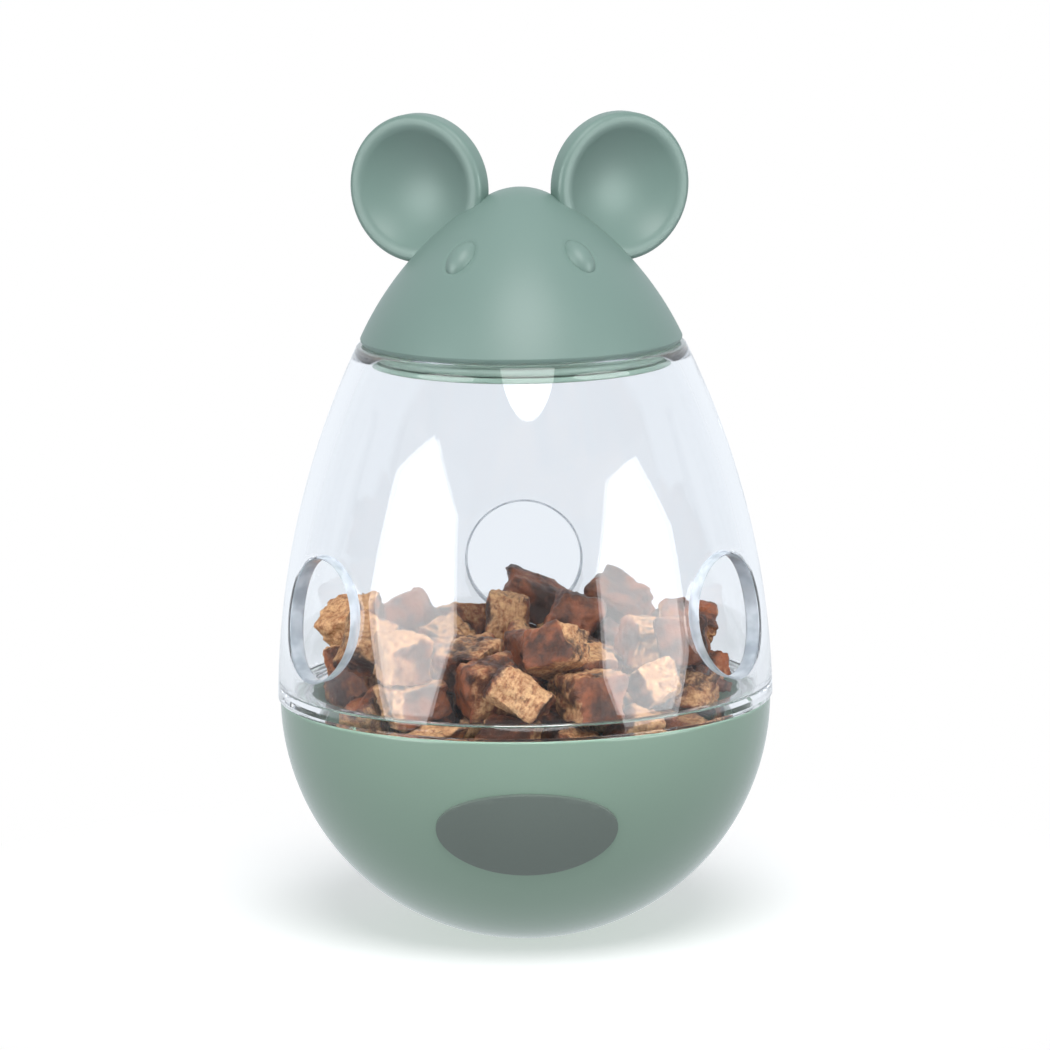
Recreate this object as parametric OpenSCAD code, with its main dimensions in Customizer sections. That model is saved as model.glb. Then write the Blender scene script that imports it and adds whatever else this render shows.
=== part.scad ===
// Treat dispensing mouse toy: a weighted round base, a clear dome with three outlets and a lift-off head.
// The toy stands on the XY plane with its axis along Z, and the face looks along -Y.

/* [Base] */
// Outer radius of the round base
base_r = 38.7; // [37:0.1:46]
// Wall thickness of the base
base_wall = 2.2; // [2:0.1:3.2]
// Radius of the flat that the toy stands on
foot_r = 8; // [5:0.5:12]
// Height of the flat inside the base that carries the ballast
seat_h = 5; // [4:0.5:7]

/* [Screw thread between base and dome] */
// Number of thread starts
thread_starts = 3; // [2:1:3]
// Angle of the first ridge on the dome, from the +X side
thread_turn = 60; // [0:1:120]
// Rise of the dome for one full turn
thread_lead = 15; // [12:0.5:18]
// Thickness of a thread ridge along the axis
ridge_t = 1.4; // [1:0.1:1.6]
// Distance that the base's ridges stand in from the socket wall
ridge_h = 1; // [0.9:0.1:1.4]
// Radial clearance between the thread's ridges and the walls that they face
thread_gap = 0.3; // [0.2:0.05:0.4]
// Play along the axis between two mating ridges
thread_play = 0.2; // [0.1:0.05:0.3]
// Angle that a ridge on the dome covers
lug_span = 24; // [16:1:30]
// Angle that a ridge in the base covers
ramp_span = 57; // [40:1:60]
// Depth of the dome's spigot below the base's rim
spigot_depth = 6.2; // [6:0.1:8]
// Wall thickness of the spigot
spigot_wall = 1.4; // [1.2:0.1:2.4]
// Distance from the spigot's end to its ridges
lug_lift = 0.2; // [0:0.1:0.4]

/* [Rim seal] */
// Width of the seal ring in the base's rim
rim_seal_w = 0.8; // [0.6:0.1:1]
// Height of the seal ring in the base's rim
rim_seal_h = 0.9; // [0.6:0.1:1.2]
// Clearance between a seal ring and its groove
seal_gap = 0.1; // [0.05:0.05:0.2]

/* [Treat floor] */
// Clearance between the spigot's end and the floor's edge
floor_clear = 1.6; // [1:0.1:3]
// Thickness of the floor at its edge
floor_t = 2; // [1.8:0.1:3]
// Rise of the floor from its edge to its middle
floor_crown = 1.5; // [0.5:0.1:3]
// Clearance between the floor's edge and the base's wall
floor_gap = 0.3; // [0.2:0.05:0.5]
// Outer radius of the hub that holds the ballast down
hub_r = 11; // [8:0.5:14]
// Wall thickness of the hub
hub_wall = 2; // [1.6:0.1:3]

/* [Floor screws] */
// Number of screws
screw_count = 3; // [3:1:4]
// Angle of the first screw, from the +X side
screw_turn = 30; // [0:1:120]
// Radius of the circle that the screws stand on
screw_ring_r = 26; // [24:0.5:28]
// Radius of a screw boss
boss_r = 3.2; // [2.8:0.1:3.6]
// Shank diameter of a screw
screw_d = 2.4; // [2:0.1:3]
// Length of the shank below the head
screw_len = 9; // [7:0.5:11]
// Diameter of a screw head
screw_head_d = 4.8; // [4:0.1:5.4]
// Thickness of a screw head
screw_head_t = 1.2; // [0.8:0.1:1.4]
// Width of the cross recess in a screw head
recess_w = 0.7; // [0.5:0.1:0.9]
// Depth of the cross recess in a screw head
recess_t = 0.7; // [0.4:0.1:0.8]
// Length of each slot of the cross recess
recess_len = 2.9; // [2:0.1:3.4]
// Radial clearance of a screw in its boss and in the floor
screw_gap = 0.05; // [0.02:0.01:0.1]
// Depth of a boss's hole past the screw's end
screw_spare = 1; // [0.5:0.1:2]

/* [Ballast] */
// Height of the cast weight
ballast_h = 11; // [8:0.5:13]
// Clearance between the weight and the base's wall
ballast_wall_gap = 0.6; // [0.4:0.1:2]
// Clearance between the weight and the screw bosses
ballast_boss_gap = 0.5; // [0.3:0.1:2]

/* [Badge] */
// Width of the blank plaque on the front
badge_w = 28; // [20:0.5:32]
// Height of the plaque
badge_h = 15; // [8:0.2:18]
// Distance that the plaque stands proud of the base
badge_t = 0.6; // [0.4:0.1:1]
// Angle of the plaque's middle below the base's rim
badge_tilt = 23.5; // [16:0.5:30]

/* [Dome] */
// Height of the dome from the base's rim to its lip
dome_h = 56; // [50:0.5:70]
// Wall thickness of the dome
dome_wall = 2.4; // [2:0.1:2.8]
// Distance that the dome's lower edge stands proud of the base
dome_proud = 0.35; // [0.1:0.05:1]
// Distance from the rim down to the height of the centre of the dome's side arc
arc_drop = 2; // [0.5:0.1:5]
// Thickness of the flange that rests on the base's rim
flange_t = 1.8; // [1.4:0.1:2.6]
// Radius of the neck's bore
neck_r = 24.2; // [22:0.1:26]
// Width of the flat lip around the neck
lip_w = 1.5; // [1.3:0.1:2.4]

/* [Outlets] */
// Number of outlets around the dome
outlet_count = 3; // [1:1:3]
// Diameter of an outlet
outlet_d = 18.8; // [12:0.2:20]
// Height of the outlets' middle above the base's rim
outlet_rise = 15.5; // [14:0.1:22]

/* [Head] */
// Height of the head above the dome's lip
head_h = 24.5; // [22:0.1:32]
// Radius of the head's side arc
head_side_r = 50.3; // [42:0.1:70]
// Radius of the rounded top of the head
head_tip_r = 10.3; // [8:0.1:13]
// Wall thickness of the head
head_wall = 2.2; // [1.8:0.1:3]
// Thickness of the solid ring at the head's lower edge
head_ring_t = 3; // [2.4:0.1:4]
// Radial clearance of pieces pressed into the head
press_gap = 0.05; // [0.02:0.01:0.1]

/* [Head plug] */
// Depth of the plug's collar below the dome's lip
collar_h = 3.3; // [2.8:0.1:6]
// Radial clearance between the collar and the neck
collar_gap = 0.25; // [0.15:0.05:0.4]
// Step in from the collar to the spigot that holds the plug in the head
plug_step = 2; // [1.6:0.1:3]
// Wall thickness of the plug
plug_wall = 2; // [1.6:0.1:3]
// Section diameter of the seal ring round the collar
neck_seal_d = 1.4; // [1:0.1:1.8]

/* [Ears] */
// Radius of an ear
ear_r = 11.7; // [9:0.1:13]
// Depth of an ear from its rim to its back
ear_depth = 6.2; // [5:0.1:8]
// Depth of the straight part of an ear's edge
ear_edge = 2.8; // [2:0.1:3.5]
// Depth of the dish in an ear's front
ear_dish = 4.4; // [2.5:0.1:4.8]
// Rounding of the rim's outer edge
ear_round = 0.9; // [0.5:0.1:1.2]
// Width of the flat top of the rim
ear_flat = 0.3; // [0.1:0.1:0.6]
// Rounding of the rim's inner edge, into the dish
ear_soft = 1.6; // [0.8:0.1:2.2]
// Distance of an ear's middle from the head's axis, sideways
ear_x = 16.6; // [14:0.1:18]
// Distance of an ear's middle behind the head's axis
ear_y = 3; // [1:0.1:5]
// Height of an ear's middle above the centre of the head's rounded top
ear_rise = 9.8; // [8:0.1:12]
// Angle that the ears face outward
ear_yaw = 28; // [15:1:35]
// Angle of an ear's peg below the horizontal
ear_peg_tilt = 33; // [25:1:45]
// Diameter of an ear's peg
ear_peg_d = 2.2; // [1.6:0.1:2.4]
// Length of an ear's peg inward from the ear's edge
ear_peg_root = 5.6; // [5:0.1:6.5]
// Distance that an ear's peg reaches past the ear's edge
ear_peg_reach = 0.6; // [0.2:0.1:1.5]

/* [Eyes] */
// Length of an eye along the slope of the head
eye_len = 7; // [4:0.1:8]
// Width of an eye
eye_w = 4.6; // [2.6:0.1:5]
// Distance that an eye stands proud of the head
eye_proud = 1.2; // [0.6:0.1:1.6]
// Height of the eyes' middle above the dome's lip
eye_rise = 15.2; // [12:0.1:18]
// Angle of an eye from the middle of the face
eye_turn = 37.6; // [25:0.1:45]
// Lean of an eye away from the slope of the head
eye_lean = 6; // [0:1:20]
// Diameter of an eye's peg
eye_peg_d = 1.8; // [1.2:0.1:2.4]
// Distance that an eye's peg reaches past the inside of the head's wall
eye_peg_reach = 0.6; // [0.2:0.1:1.5]

/* [Hidden] */
$fn = 96;
gloss_green = [0.58, 0.69, 0.63];
satin_green = [0.55, 0.67, 0.61];
clear_blue = [0.86, 0.90, 0.94, 0.35];
// Overlap that makes a cut run clean through a face
cut = 1;
// Overlap that fuses two forms of one piece
root_in = 0.5;
// Number of facets in the wide circles of the dome's and the head's sides
arc_facets = 360;
// Straight steps round the plaque's oval edge
badge_facets = 72;
// Angle between two rings of points along a thread ridge
ridge_step = 4;
// Number of straight steps in each curve of an ear's or an eye's outline
curve_steps = 12;

// Heights
rim_z = sqrt(base_r * base_r - foot_r * foot_r);
lip_z = rim_z + dome_h;
floor_z = rim_z - spigot_depth - floor_clear;
floor_under_z = floor_z - floor_t;
ballast_top_z = seat_h + ballast_h;
outlet_z = rim_z + outlet_rise;

// Radii of the base
socket_r = base_r - base_wall;
ramp_crest_r = socket_r - ridge_h;
rim_seal_r = (socket_r + base_r) / 2;
floor_r = socket_r - floor_gap;
ballast_r = screw_ring_r - boss_r - ballast_boss_gap;

// Radii of the dome and the circle of its side arc
spigot_r = ramp_crest_r - thread_gap;
lug_crest_r = socket_r - thread_gap;
dome_r = base_r + dome_proud;
lip_r = neck_r + lip_w;
arc_z = rim_z - arc_drop;
arc_rise = lip_z - arc_z;
arc_x = (pow(dome_r, 2) - pow(lip_r, 2) + pow(arc_drop, 2) - pow(arc_rise, 2)) / (2 * (dome_r - lip_r));
arc_r = norm([dome_r - arc_x, arc_drop]);

// Heights of the thread: the ridges in the base lie over those on the dome
lug_climb = thread_lead * lug_span / 360;
lug_z = rim_z - spigot_depth + lug_lift + (lug_climb + ridge_t) / 2;
ramp_z = lug_z + ridge_t + thread_play;

// The head's side arc passes through its lower edge and is tangent to its rounded top
tip_z = lip_z + head_h - head_tip_r;
edge_to_tip = [-lip_r, tip_z - lip_z];
edge_reach = norm(edge_to_tip);
edge_way = edge_to_tip / edge_reach;
side_in = head_side_r - head_tip_r;
along = (head_side_r * head_side_r - side_in * side_in + edge_reach * edge_reach) / (2 * edge_reach);
across = sqrt(head_side_r * head_side_r - along * along);
side_c = [lip_r, lip_z] + along * edge_way + across * [-edge_way.y, edge_way.x];
tangent_way = ([0, tip_z] - side_c) / side_in;

// Plug and its seal ring
collar_r = neck_r - collar_gap;
plug_r = collar_r - plug_step;
plug_z = lip_z - collar_h;
neck_seal_r = neck_r - seal_gap - neck_seal_d / 2;
neck_seal_z = lip_z - collar_h / 2;

// The ear's dish is a round hollow that runs smoothly into the rim's inner rounding
rim_in_r = ear_r - ear_round - ear_flat;
dish_angle = 2 * atan(ear_dish / rim_in_r);
dish_r = rim_in_r / sin(dish_angle) - ear_soft;
dish_z = dish_r - ear_dish;

// The ear's peg starts midway between the dish and the ear's back
ear_peg_from = ear_r - ear_peg_root;
dish_at_peg = sqrt(pow(dish_r, 2) - pow(ear_peg_from, 2)) - dish_z;
back_at_peg = ear_edge + (ear_depth - ear_edge) * sqrt(1 - pow(ear_peg_from / ear_r, 2));
ear_peg_set = (dish_at_peg + back_at_peg) / 2;

// Place of an eye on the head's side arc
eye_angle = asin((lip_z + eye_rise - side_c.y) / head_side_r);
eye_r = side_c.x + head_side_r * cos(eye_angle);

// Points along an arc of an ellipse about a centre
function arc_points(centre, rx, ry, from, to) =
    [for (i = [0:curve_steps]) let (a = from + (to - from) * i / curve_steps)
        centre + [rx * cos(a), ry * sin(a)]];

// Corner points of a thread ridge's section at an angle along it
function ridge_ring(inner, outer, angle) =
    let (climb = thread_lead * angle / 360, way = [cos(angle), sin(angle)], half = ridge_t / 2)
    [for (corner = [[inner, -half], [outer, -half], [outer, half], [inner, half]])
        [corner.x * way.x, corner.x * way.y, climb + corner.y]];

// A thread ridge that climbs from one angle to another
module ridge(inner, outer, from, to) {
    steps = ceil((to - from) / ridge_step);
    points = [for (i = [0:steps]) each ridge_ring(inner, outer, from + (to - from) * i / steps)];
    sides = [for (i = [0:steps - 1], k = [0:3])
        let (a = 4 * i + k, b = 4 * i + (k + 1) % 4)
        each [[a, b, a + 4], [b, b + 4, a + 4]]];
    last = 4 * steps;
    ends = [[0, 2, 1], [0, 3, 2], [last, last + 1, last + 2], [last, last + 2, last + 3]];
    polyhedron(points, concat(sides, ends));
}

// Repeats its children around the axis
module around(count) {
    for (i = [0:count - 1])
        rotate(360 * i / count)
            children();
}

// Half of the outline of the round base, reduced all round by an inset and kept between two heights
module base_half(inset, low, high) {
    intersection() {
        translate([0, rim_z]) circle(base_r - inset);
        translate([0, low]) square([base_r, high - low]);
    }
}

// Half of the dome's outline, reduced by an inset and kept between two heights
module dome_half(inset, low, high) {
    intersection() {
        translate([arc_x, arc_z]) circle(arc_r - inset, $fn = arc_facets);
        translate([0, low]) square([dome_r + cut, high - low]);
    }
}

// Half of the head's outline, reduced by an inset and started at a height
module head_half(inset, low) {
    tangent_z = side_c.y + (head_side_r - inset) * tangent_way.y;
    intersection() {
        translate(side_c) circle(head_side_r - inset, $fn = arc_facets);
        translate([0, low]) square([lip_r, tangent_z - low]);
    }
    intersection() {
        translate([0, tip_z]) circle(head_tip_r - inset);
        translate([0, tangent_z - root_in]) square([lip_r, head_h]);
    }
}

// The head as a filled solid, which trims what sits on it
module head_solid() {
    rotate_extrude() head_half(0, lip_z);
}

module thread_places() {
    rotate(thread_turn)
        around(thread_starts)
            children();
}

module screw_places() {
    rotate(screw_turn)
        around(screw_count)
            translate([screw_ring_r, 0, 0])
                children();
}

module base_bowl() {
    boss_hole = screw_len - floor_t + screw_head_t + screw_spare;
    color(gloss_green) {
        difference() {
            union() {
                rotate_extrude() difference() {
                    base_half(0, 0, rim_z);
                    base_half(base_wall, seat_h, floor_under_z + cut);
                    translate([0, floor_under_z]) square([socket_r, rim_z - floor_under_z + cut]);
                    translate([rim_seal_r - rim_seal_w / 2 - seal_gap, rim_z - rim_seal_h - seal_gap])
                        square([rim_seal_w + 2 * seal_gap, rim_seal_h + cut]);
                }
                intersection() {
                    screw_places() cylinder(r = boss_r, h = floor_under_z);
                    translate([0, 0, rim_z]) sphere(base_r - base_wall / 2);
                }
                thread_places()
                    translate([0, 0, ramp_z])
                        ridge(ramp_crest_r, socket_r + root_in, -lug_span / 2, ramp_span - lug_span / 2);
            }
            screw_places()
                translate([0, 0, floor_under_z - boss_hole])
                    cylinder(d = screw_d + 2 * screw_gap, h = boss_hole + cut);
        }
    }
}

module ballast_weight() {
    color("dimgray")
        rotate_extrude() intersection() {
            base_half(base_wall + ballast_wall_gap, seat_h, ballast_top_z);
            translate([0, seat_h]) square([ballast_r, ballast_h]);
        }
}

module treat_floor() {
    color(gloss_green) difference() {
        rotate_extrude() {
            polygon([[0, floor_under_z], [floor_r, floor_under_z], [floor_r, floor_z],
                [0, floor_z + floor_crown]]);
            translate([hub_r - hub_wall, ballast_top_z])
                square([hub_wall, floor_under_z - ballast_top_z]);
        }
        screw_places() {
            translate([0, 0, floor_under_z - cut])
                cylinder(d = screw_d + 2 * screw_gap, h = floor_t + 2 * cut);
            translate([0, 0, floor_z - screw_head_t])
                cylinder(d = screw_head_d + 2 * screw_gap, h = screw_head_t + floor_crown);
        }
    }
}

module floor_screws() {
    color("silver") screw_places() {
        translate([0, 0, floor_z - screw_head_t - screw_len]) cylinder(d = screw_d, h = screw_len);
        difference() {
            translate([0, 0, floor_z - screw_head_t]) cylinder(d = screw_head_d, h = screw_head_t);
            for (turn = [0, 90])
                rotate(turn)
                    translate([0, 0, floor_z])
                        cube([recess_len, recess_w, 2 * recess_t], center = true);
        }
    }
}

module front_badge() {
    color("slategray")
        translate([0, 0, rim_z])
            difference() {
                intersection() {
                    sphere(base_r + badge_t);
                    rotate([90 + badge_tilt, 0, 0])
                        linear_extrude(base_r + 2 * badge_t)
                            polygon([for (i = [1:badge_facets])
                                [badge_w * cos(360 * i / badge_facets), badge_h * sin(360 * i / badge_facets)] / 2]);
                }
                sphere(base_r);
            }
}

module rim_seal() {
    color("gainsboro")
        rotate_extrude()
            translate([rim_seal_r - rim_seal_w / 2, rim_z - rim_seal_h - seal_gap])
                square([rim_seal_w, rim_seal_h]);
}

module clear_dome() {
    color(clear_blue) {
        difference() {
            rotate_extrude() difference() {
                union() {
                    dome_half(0, rim_z, lip_z);
                    translate([0, rim_z - spigot_depth]) square([spigot_r, spigot_depth + flange_t]);
                }
                dome_half(dome_wall, rim_z + flange_t, lip_z + cut);
                translate([0, rim_z - spigot_depth - cut])
                    square([spigot_r - spigot_wall, spigot_depth + flange_t + 2 * cut]);
                translate([0, plug_z - cut]) square([neck_r, collar_h + 2 * cut]);
            }
            around(outlet_count)
                translate([0, 0, outlet_z]) rotate([-90, 0, 0]) cylinder(d = outlet_d, h = dome_r + cut);
        }
        thread_places()
            translate([0, 0, lug_z])
                ridge(spigot_r - root_in, lug_crest_r, -lug_span / 2, lug_span / 2);
    }
}

module neck_seal() {
    color("gainsboro")
        translate([0, 0, neck_seal_z])
            rotate_extrude() translate([neck_seal_r, 0]) circle(d = neck_seal_d);
}

module head_plug() {
    groove_r = neck_seal_r - neck_seal_d / 2 - seal_gap;
    groove_h = neck_seal_d + 2 * seal_gap;
    color(satin_green) rotate_extrude() difference() {
        union() {
            translate([0, plug_z]) square([collar_r, collar_h]);
            translate([0, plug_z]) square([plug_r, collar_h + head_ring_t]);
        }
        translate([0, plug_z + plug_wall]) square([plug_r - plug_wall, collar_h + head_ring_t]);
        translate([groove_r, neck_seal_z - groove_h / 2]) square([plug_step + cut, groove_h]);
    }
}

// Brings an ear from its own axis, with its rim at the origin and facing +Z, to its place on one side
module ear_place(side) {
    translate([side * ear_x, ear_y, tip_z + ear_rise])
        rotate([90, 0, side * ear_yaw])
            children();
}

// The peg of an ear, which runs in the ear's plane down to the head
module ear_peg(side, spare) {
    turn = side > 0 ? 180 + ear_peg_tilt : -ear_peg_tilt;
    ear_place(side)
        translate([0, 0, -ear_peg_set])
            rotate([0, 90, turn])
                translate([0, 0, ear_peg_from])
                    cylinder(d = ear_peg_d + 2 * spare, h = ear_peg_root + ear_peg_reach + spare);
}

module ear(side) {
    color(satin_green) {
        difference() {
            ear_place(side)
                rotate_extrude() polygon(concat(
                    arc_points([0, -ear_edge], ear_r, ear_depth - ear_edge, -90, 0),
                    arc_points([ear_r - ear_round, -ear_round], ear_round, ear_round, 0, 90),
                    arc_points([rim_in_r, -ear_soft], ear_soft, ear_soft, 90, 90 + dish_angle),
                    arc_points([0, dish_z], dish_r, dish_r, dish_angle - 90, -90)));
            head_solid();
        }
        ear_peg(side, 0);
    }
}

module ear_left() {
    ear(-1);
}

module ear_right() {
    ear(1);
}

// Brings an eye from the origin, with the head's slope along X and out of the head along Z, to one side
module eye_place(side) {
    rotate(side * eye_turn - 90)
        translate([eye_r, 0, lip_z + eye_rise])
            rotate([0, 90 - eye_angle, 0])
                rotate(side * eye_lean)
                    children();
}

module eye_peg(side, spare) {
    eye_place(side)
        translate([0, 0, -head_wall - eye_peg_reach])
            cylinder(d = eye_peg_d + 2 * spare, h = head_wall + eye_peg_reach + eye_proud / 2);
}

module eye(side) {
    color(satin_green) {
        difference() {
            eye_place(side)
                translate([0, 0, eye_proud - eye_w / 2])
                    rotate([0, 90, 0])
                        rotate_extrude() polygon(arc_points([0, 0], eye_w / 2, eye_len / 2, -90, 90));
            head_solid();
        }
        eye_peg(side, 0);
    }
}

module eye_left() {
    eye(-1);
}

module eye_right() {
    eye(1);
}

module head_shell() {
    color(satin_green) difference() {
        head_solid();
        rotate_extrude() head_half(head_wall, lip_z + head_ring_t);
        translate([0, 0, lip_z - cut]) cylinder(r = plug_r + press_gap, h = head_ring_t + 2 * cut);
        for (side = [-1, 1]) {
            ear_peg(side, press_gap);
            eye_peg(side, press_gap);
        }
    }
}

base_bowl();
ballast_weight();
treat_floor();
floor_screws();
front_badge();
rim_seal();
clear_dome();
neck_seal();
head_plug();
head_shell();
ear_left();
ear_right();
eye_left();
eye_right();
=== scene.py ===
"""Looks of the treat dispensing mouse toy.

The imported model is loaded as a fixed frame. The classes below model the visible pieces in that
frame, give each piece its finish, fill the toy with treats, and set up the studio and the camera.
"""

import logging
import math
import random
from contextlib import contextmanager
from dataclasses import dataclass
from enum import Enum
from typing import Any, Callable, ClassVar, Iterator, Sequence

import bmesh
import bpy
import numpy as np
from mathutils import Euler, Matrix, Vector


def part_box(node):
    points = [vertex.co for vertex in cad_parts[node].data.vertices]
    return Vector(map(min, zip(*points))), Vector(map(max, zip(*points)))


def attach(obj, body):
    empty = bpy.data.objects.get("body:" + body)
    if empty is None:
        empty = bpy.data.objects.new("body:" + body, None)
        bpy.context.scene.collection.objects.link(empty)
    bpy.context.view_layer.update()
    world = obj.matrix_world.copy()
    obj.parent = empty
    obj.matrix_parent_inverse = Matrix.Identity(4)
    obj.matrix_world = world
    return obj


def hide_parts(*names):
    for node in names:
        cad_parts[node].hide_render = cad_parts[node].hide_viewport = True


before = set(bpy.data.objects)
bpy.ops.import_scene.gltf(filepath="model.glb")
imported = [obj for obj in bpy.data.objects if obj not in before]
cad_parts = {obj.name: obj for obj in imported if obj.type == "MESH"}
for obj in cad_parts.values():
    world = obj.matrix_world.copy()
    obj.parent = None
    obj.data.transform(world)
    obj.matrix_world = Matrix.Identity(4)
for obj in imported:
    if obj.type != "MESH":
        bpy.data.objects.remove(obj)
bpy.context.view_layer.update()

log = logging.getLogger("mouse_toy")

MM = 0.001
FULL_TURN = 2 * math.pi
TURN_STEPS = 192
SMALL_TURN_STEPS = 96

Point = tuple[float, float]
Piece = bpy.types.Object
Colour = tuple[float, float, float, float]
WHITE: Colour = (1.0, 1.0, 1.0, 1.0)


class Body(Enum):
    """Bodies of the frame that the pieces ride on."""

    BASE = "base"
    RIM = "rim_ring"
    DOME = "dome"
    NECK = "neck_ring"
    HEAD = "head"


class Side(Enum):
    """Sides of the face, as the viewer sees them."""

    LEFT = -1
    RIGHT = 1


class Pick(Enum):
    """Kinds of element that edit mode selects."""

    POINTS = "VERT"
    EDGES = "EDGE"
    FACES = "FACE"


def screen_colour(red: int, green: int, blue: int) -> Colour:
    """Turns a colour as it shows on a screen into Blender's linear colour, by the sRGB curve.

    Args:
        red: Red from 0 to 255.
        green: Green from 0 to 255.
        blue: Blue from 0 to 255.

    Returns:
        The linear colour, opaque.
    """
    shares = [value / 255 for value in (red, green, blue)]
    linear = [s / 12.92 if s <= 0.04045 else ((s + 0.055) / 1.055) ** 2.4 for s in shares]
    return (linear[0], linear[1], linear[2], 1.0)


def arc(centre: Point, radius: float, start: float, stop: float, steps: int,
        height: float = 0.0) -> list[Point]:
    """Gives points along an arc of a turned piece's outline.

    Args:
        centre: Radius and height of the arc's centre.
        radius: Radius of the arc.
        start: First angle in degrees, from outward towards up.
        stop: Last angle in degrees.
        steps: Number of straight steps.
        height: Half height of an ellipse, or 0 for a circle.

    Returns:
        The points, both ends included.
    """
    angles = [math.radians(start + (stop - start) * i / steps) for i in range(steps + 1)]
    rise = height or radius
    return [(centre[0] + radius * math.cos(a), centre[1] + rise * math.sin(a)) for a in angles]


class Bench:
    """Modelling steps that the pieces share, made with Blender's operators."""

    @staticmethod
    def clear() -> None:
        """Leaves edit mode and deselects everything."""
        if bpy.context.object and bpy.context.object.mode != "OBJECT":
            bpy.ops.object.mode_set(mode="OBJECT")
        bpy.ops.object.select_all(action="DESELECT")

    @staticmethod
    def hold(*pieces: Piece) -> None:
        """Selects only the given pieces, the first of them active."""
        Bench.clear()
        for piece in pieces:
            piece.select_set(True)
        bpy.context.view_layer.objects.active = pieces[0]

    @staticmethod
    def named(name: str) -> Piece:
        """Gives the active object and its mesh a name, and returns the object."""
        piece = bpy.context.object
        piece.name = piece.data.name = name
        return piece

    @staticmethod
    @contextmanager
    def editing(piece: Piece, kind: Pick = Pick.POINTS) -> Iterator[None]:
        """Opens a piece in edit mode with everything selected, and closes it again.

        Args:
            piece: The piece to edit.
            kind: The kind of element that is selected.

        Returns:
            Nothing; the block under the with statement runs in edit mode.
        """
        Bench.hold(piece)
        bpy.ops.object.mode_set(mode="EDIT")
        bpy.ops.mesh.select_mode(type=kind.value)
        bpy.ops.mesh.select_all(action="SELECT")
        yield
        bpy.ops.object.mode_set(mode="OBJECT")

    @staticmethod
    def pick(piece: Piece, kind: Pick, wanted: Callable[[Any], bool]) -> None:
        """Selects, in edit mode, only the elements that pass a test.

        Args:
            piece: The piece in edit mode.
            kind: The kind of element to select.
            wanted: The test, which gets the element.
        """
        bpy.ops.mesh.select_all(action="DESELECT")
        form = bmesh.from_edit_mesh(piece.data)
        elements = {Pick.POINTS: form.verts, Pick.EDGES: form.edges, Pick.FACES: form.faces}[kind]
        for element in [element for element in elements if wanted(element)]:
            element.select_set(True)
        form.select_flush_mode()
        bmesh.update_edit_mesh(piece.data)

    @staticmethod
    def outward() -> None:
        """Selects everything in edit mode and turns all faces outward."""
        bpy.ops.mesh.select_all(action="SELECT")
        bpy.ops.mesh.normals_make_consistent(inside=False)

    @staticmethod
    def drawn(name: str, outline: Sequence[Point], closed: bool = False) -> Piece:
        """Draws an outline in the XZ plane by extruding one point along it.

        Args:
            name: Name of the new piece.
            outline: Points as distances along X and Z.
            closed: Whether the last point joins the first.

        Returns:
            The outline as a piece of edges only.
        """
        points = list(outline) + [outline[0]] * closed
        Bench.clear()
        bpy.ops.mesh.primitive_plane_add(size=MM, location=(0, 0, 0))
        piece = Bench.named(name)
        with Bench.editing(piece):
            bpy.ops.mesh.merge(type="CENTER")
            bpy.ops.transform.translate(value=(points[0][0], 0, points[0][1]))
            for before, after in zip(points, points[1:]):
                step = (after[0] - before[0], 0, after[1] - before[1])
                bpy.ops.mesh.extrude_region_move(TRANSFORM_OT_translate={"value": step})
            bpy.ops.mesh.select_all(action="SELECT")
            bpy.ops.mesh.remove_doubles(threshold=1e-7)
        return piece

    @staticmethod
    def turned(name: str, outline: Sequence[Point], closed: bool = False,
               steps: int = TURN_STEPS) -> Piece:
        """Spins an outline round the Z axis, as on a lathe.

        Args:
            name: Name of the new piece.
            outline: Points as radius and height.
            closed: Whether the last point joins the first.
            steps: Number of steps in the full turn.

        Returns:
            The turned piece, closed and with its faces outward.
        """
        piece = Bench.drawn(name, outline, closed)
        with Bench.editing(piece):
            bpy.ops.mesh.spin(steps=steps, angle=FULL_TURN, center=(0, 0, 0), axis=(0, 0, 1))
            bpy.ops.mesh.select_all(action="SELECT")
            bpy.ops.mesh.remove_doubles(threshold=2e-6)
            bpy.ops.mesh.normals_make_consistent(inside=False)
        return piece

    @staticmethod
    def apply(piece: Piece, kind: str, **settings: Any) -> None:
        """Adds a modifier to a piece and applies it.

        Args:
            piece: The piece to change.
            kind: The modifier's type.
            settings: The modifier's settings.
        """
        Bench.hold(piece)
        modifier = piece.modifiers.new(kind.title(), kind)
        for name, value in settings.items():
            setattr(modifier, name, value)
        bpy.ops.object.modifier_apply(modifier=modifier.name)

    @staticmethod
    def cut(piece: Piece, tool: Piece, operation: str = "DIFFERENCE",
            keep: bool = False) -> None:
        """Cuts a piece with a tool piece, or joins or trims it.

        Args:
            piece: The piece to change.
            tool: The other piece.
            operation: DIFFERENCE, UNION or INTERSECT.
            keep: Whether the tool piece stays.
        """
        Bench.apply(piece, "BOOLEAN", operation=operation, solver="EXACT", object=tool)
        if not keep:
            bpy.data.objects.remove(tool)

    @staticmethod
    def place(piece: Piece, where: Matrix) -> Piece:
        """Moves a piece and puts its place into its mesh.

        Args:
            piece: The piece to move.
            where: Its place in the frame.

        Returns:
            The piece.
        """
        piece.matrix_world = where
        Bench.hold(piece)
        bpy.ops.object.transform_apply(location=True, rotation=True, scale=True)
        return piece

    @staticmethod
    def copied(piece: Piece, name: str) -> Piece:
        """Copies a piece with a mesh of its own.

        Args:
            piece: The piece to copy.
            name: Name of the copy.

        Returns:
            The copy.
        """
        Bench.hold(piece)
        bpy.ops.object.duplicate(linked=False)
        return Bench.named(name)

    @staticmethod
    def joined(first: Piece, *others: Piece) -> Piece:
        """Joins pieces into the first one and returns it."""
        Bench.hold(first, *others)
        bpy.ops.object.join()
        return first

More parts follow.
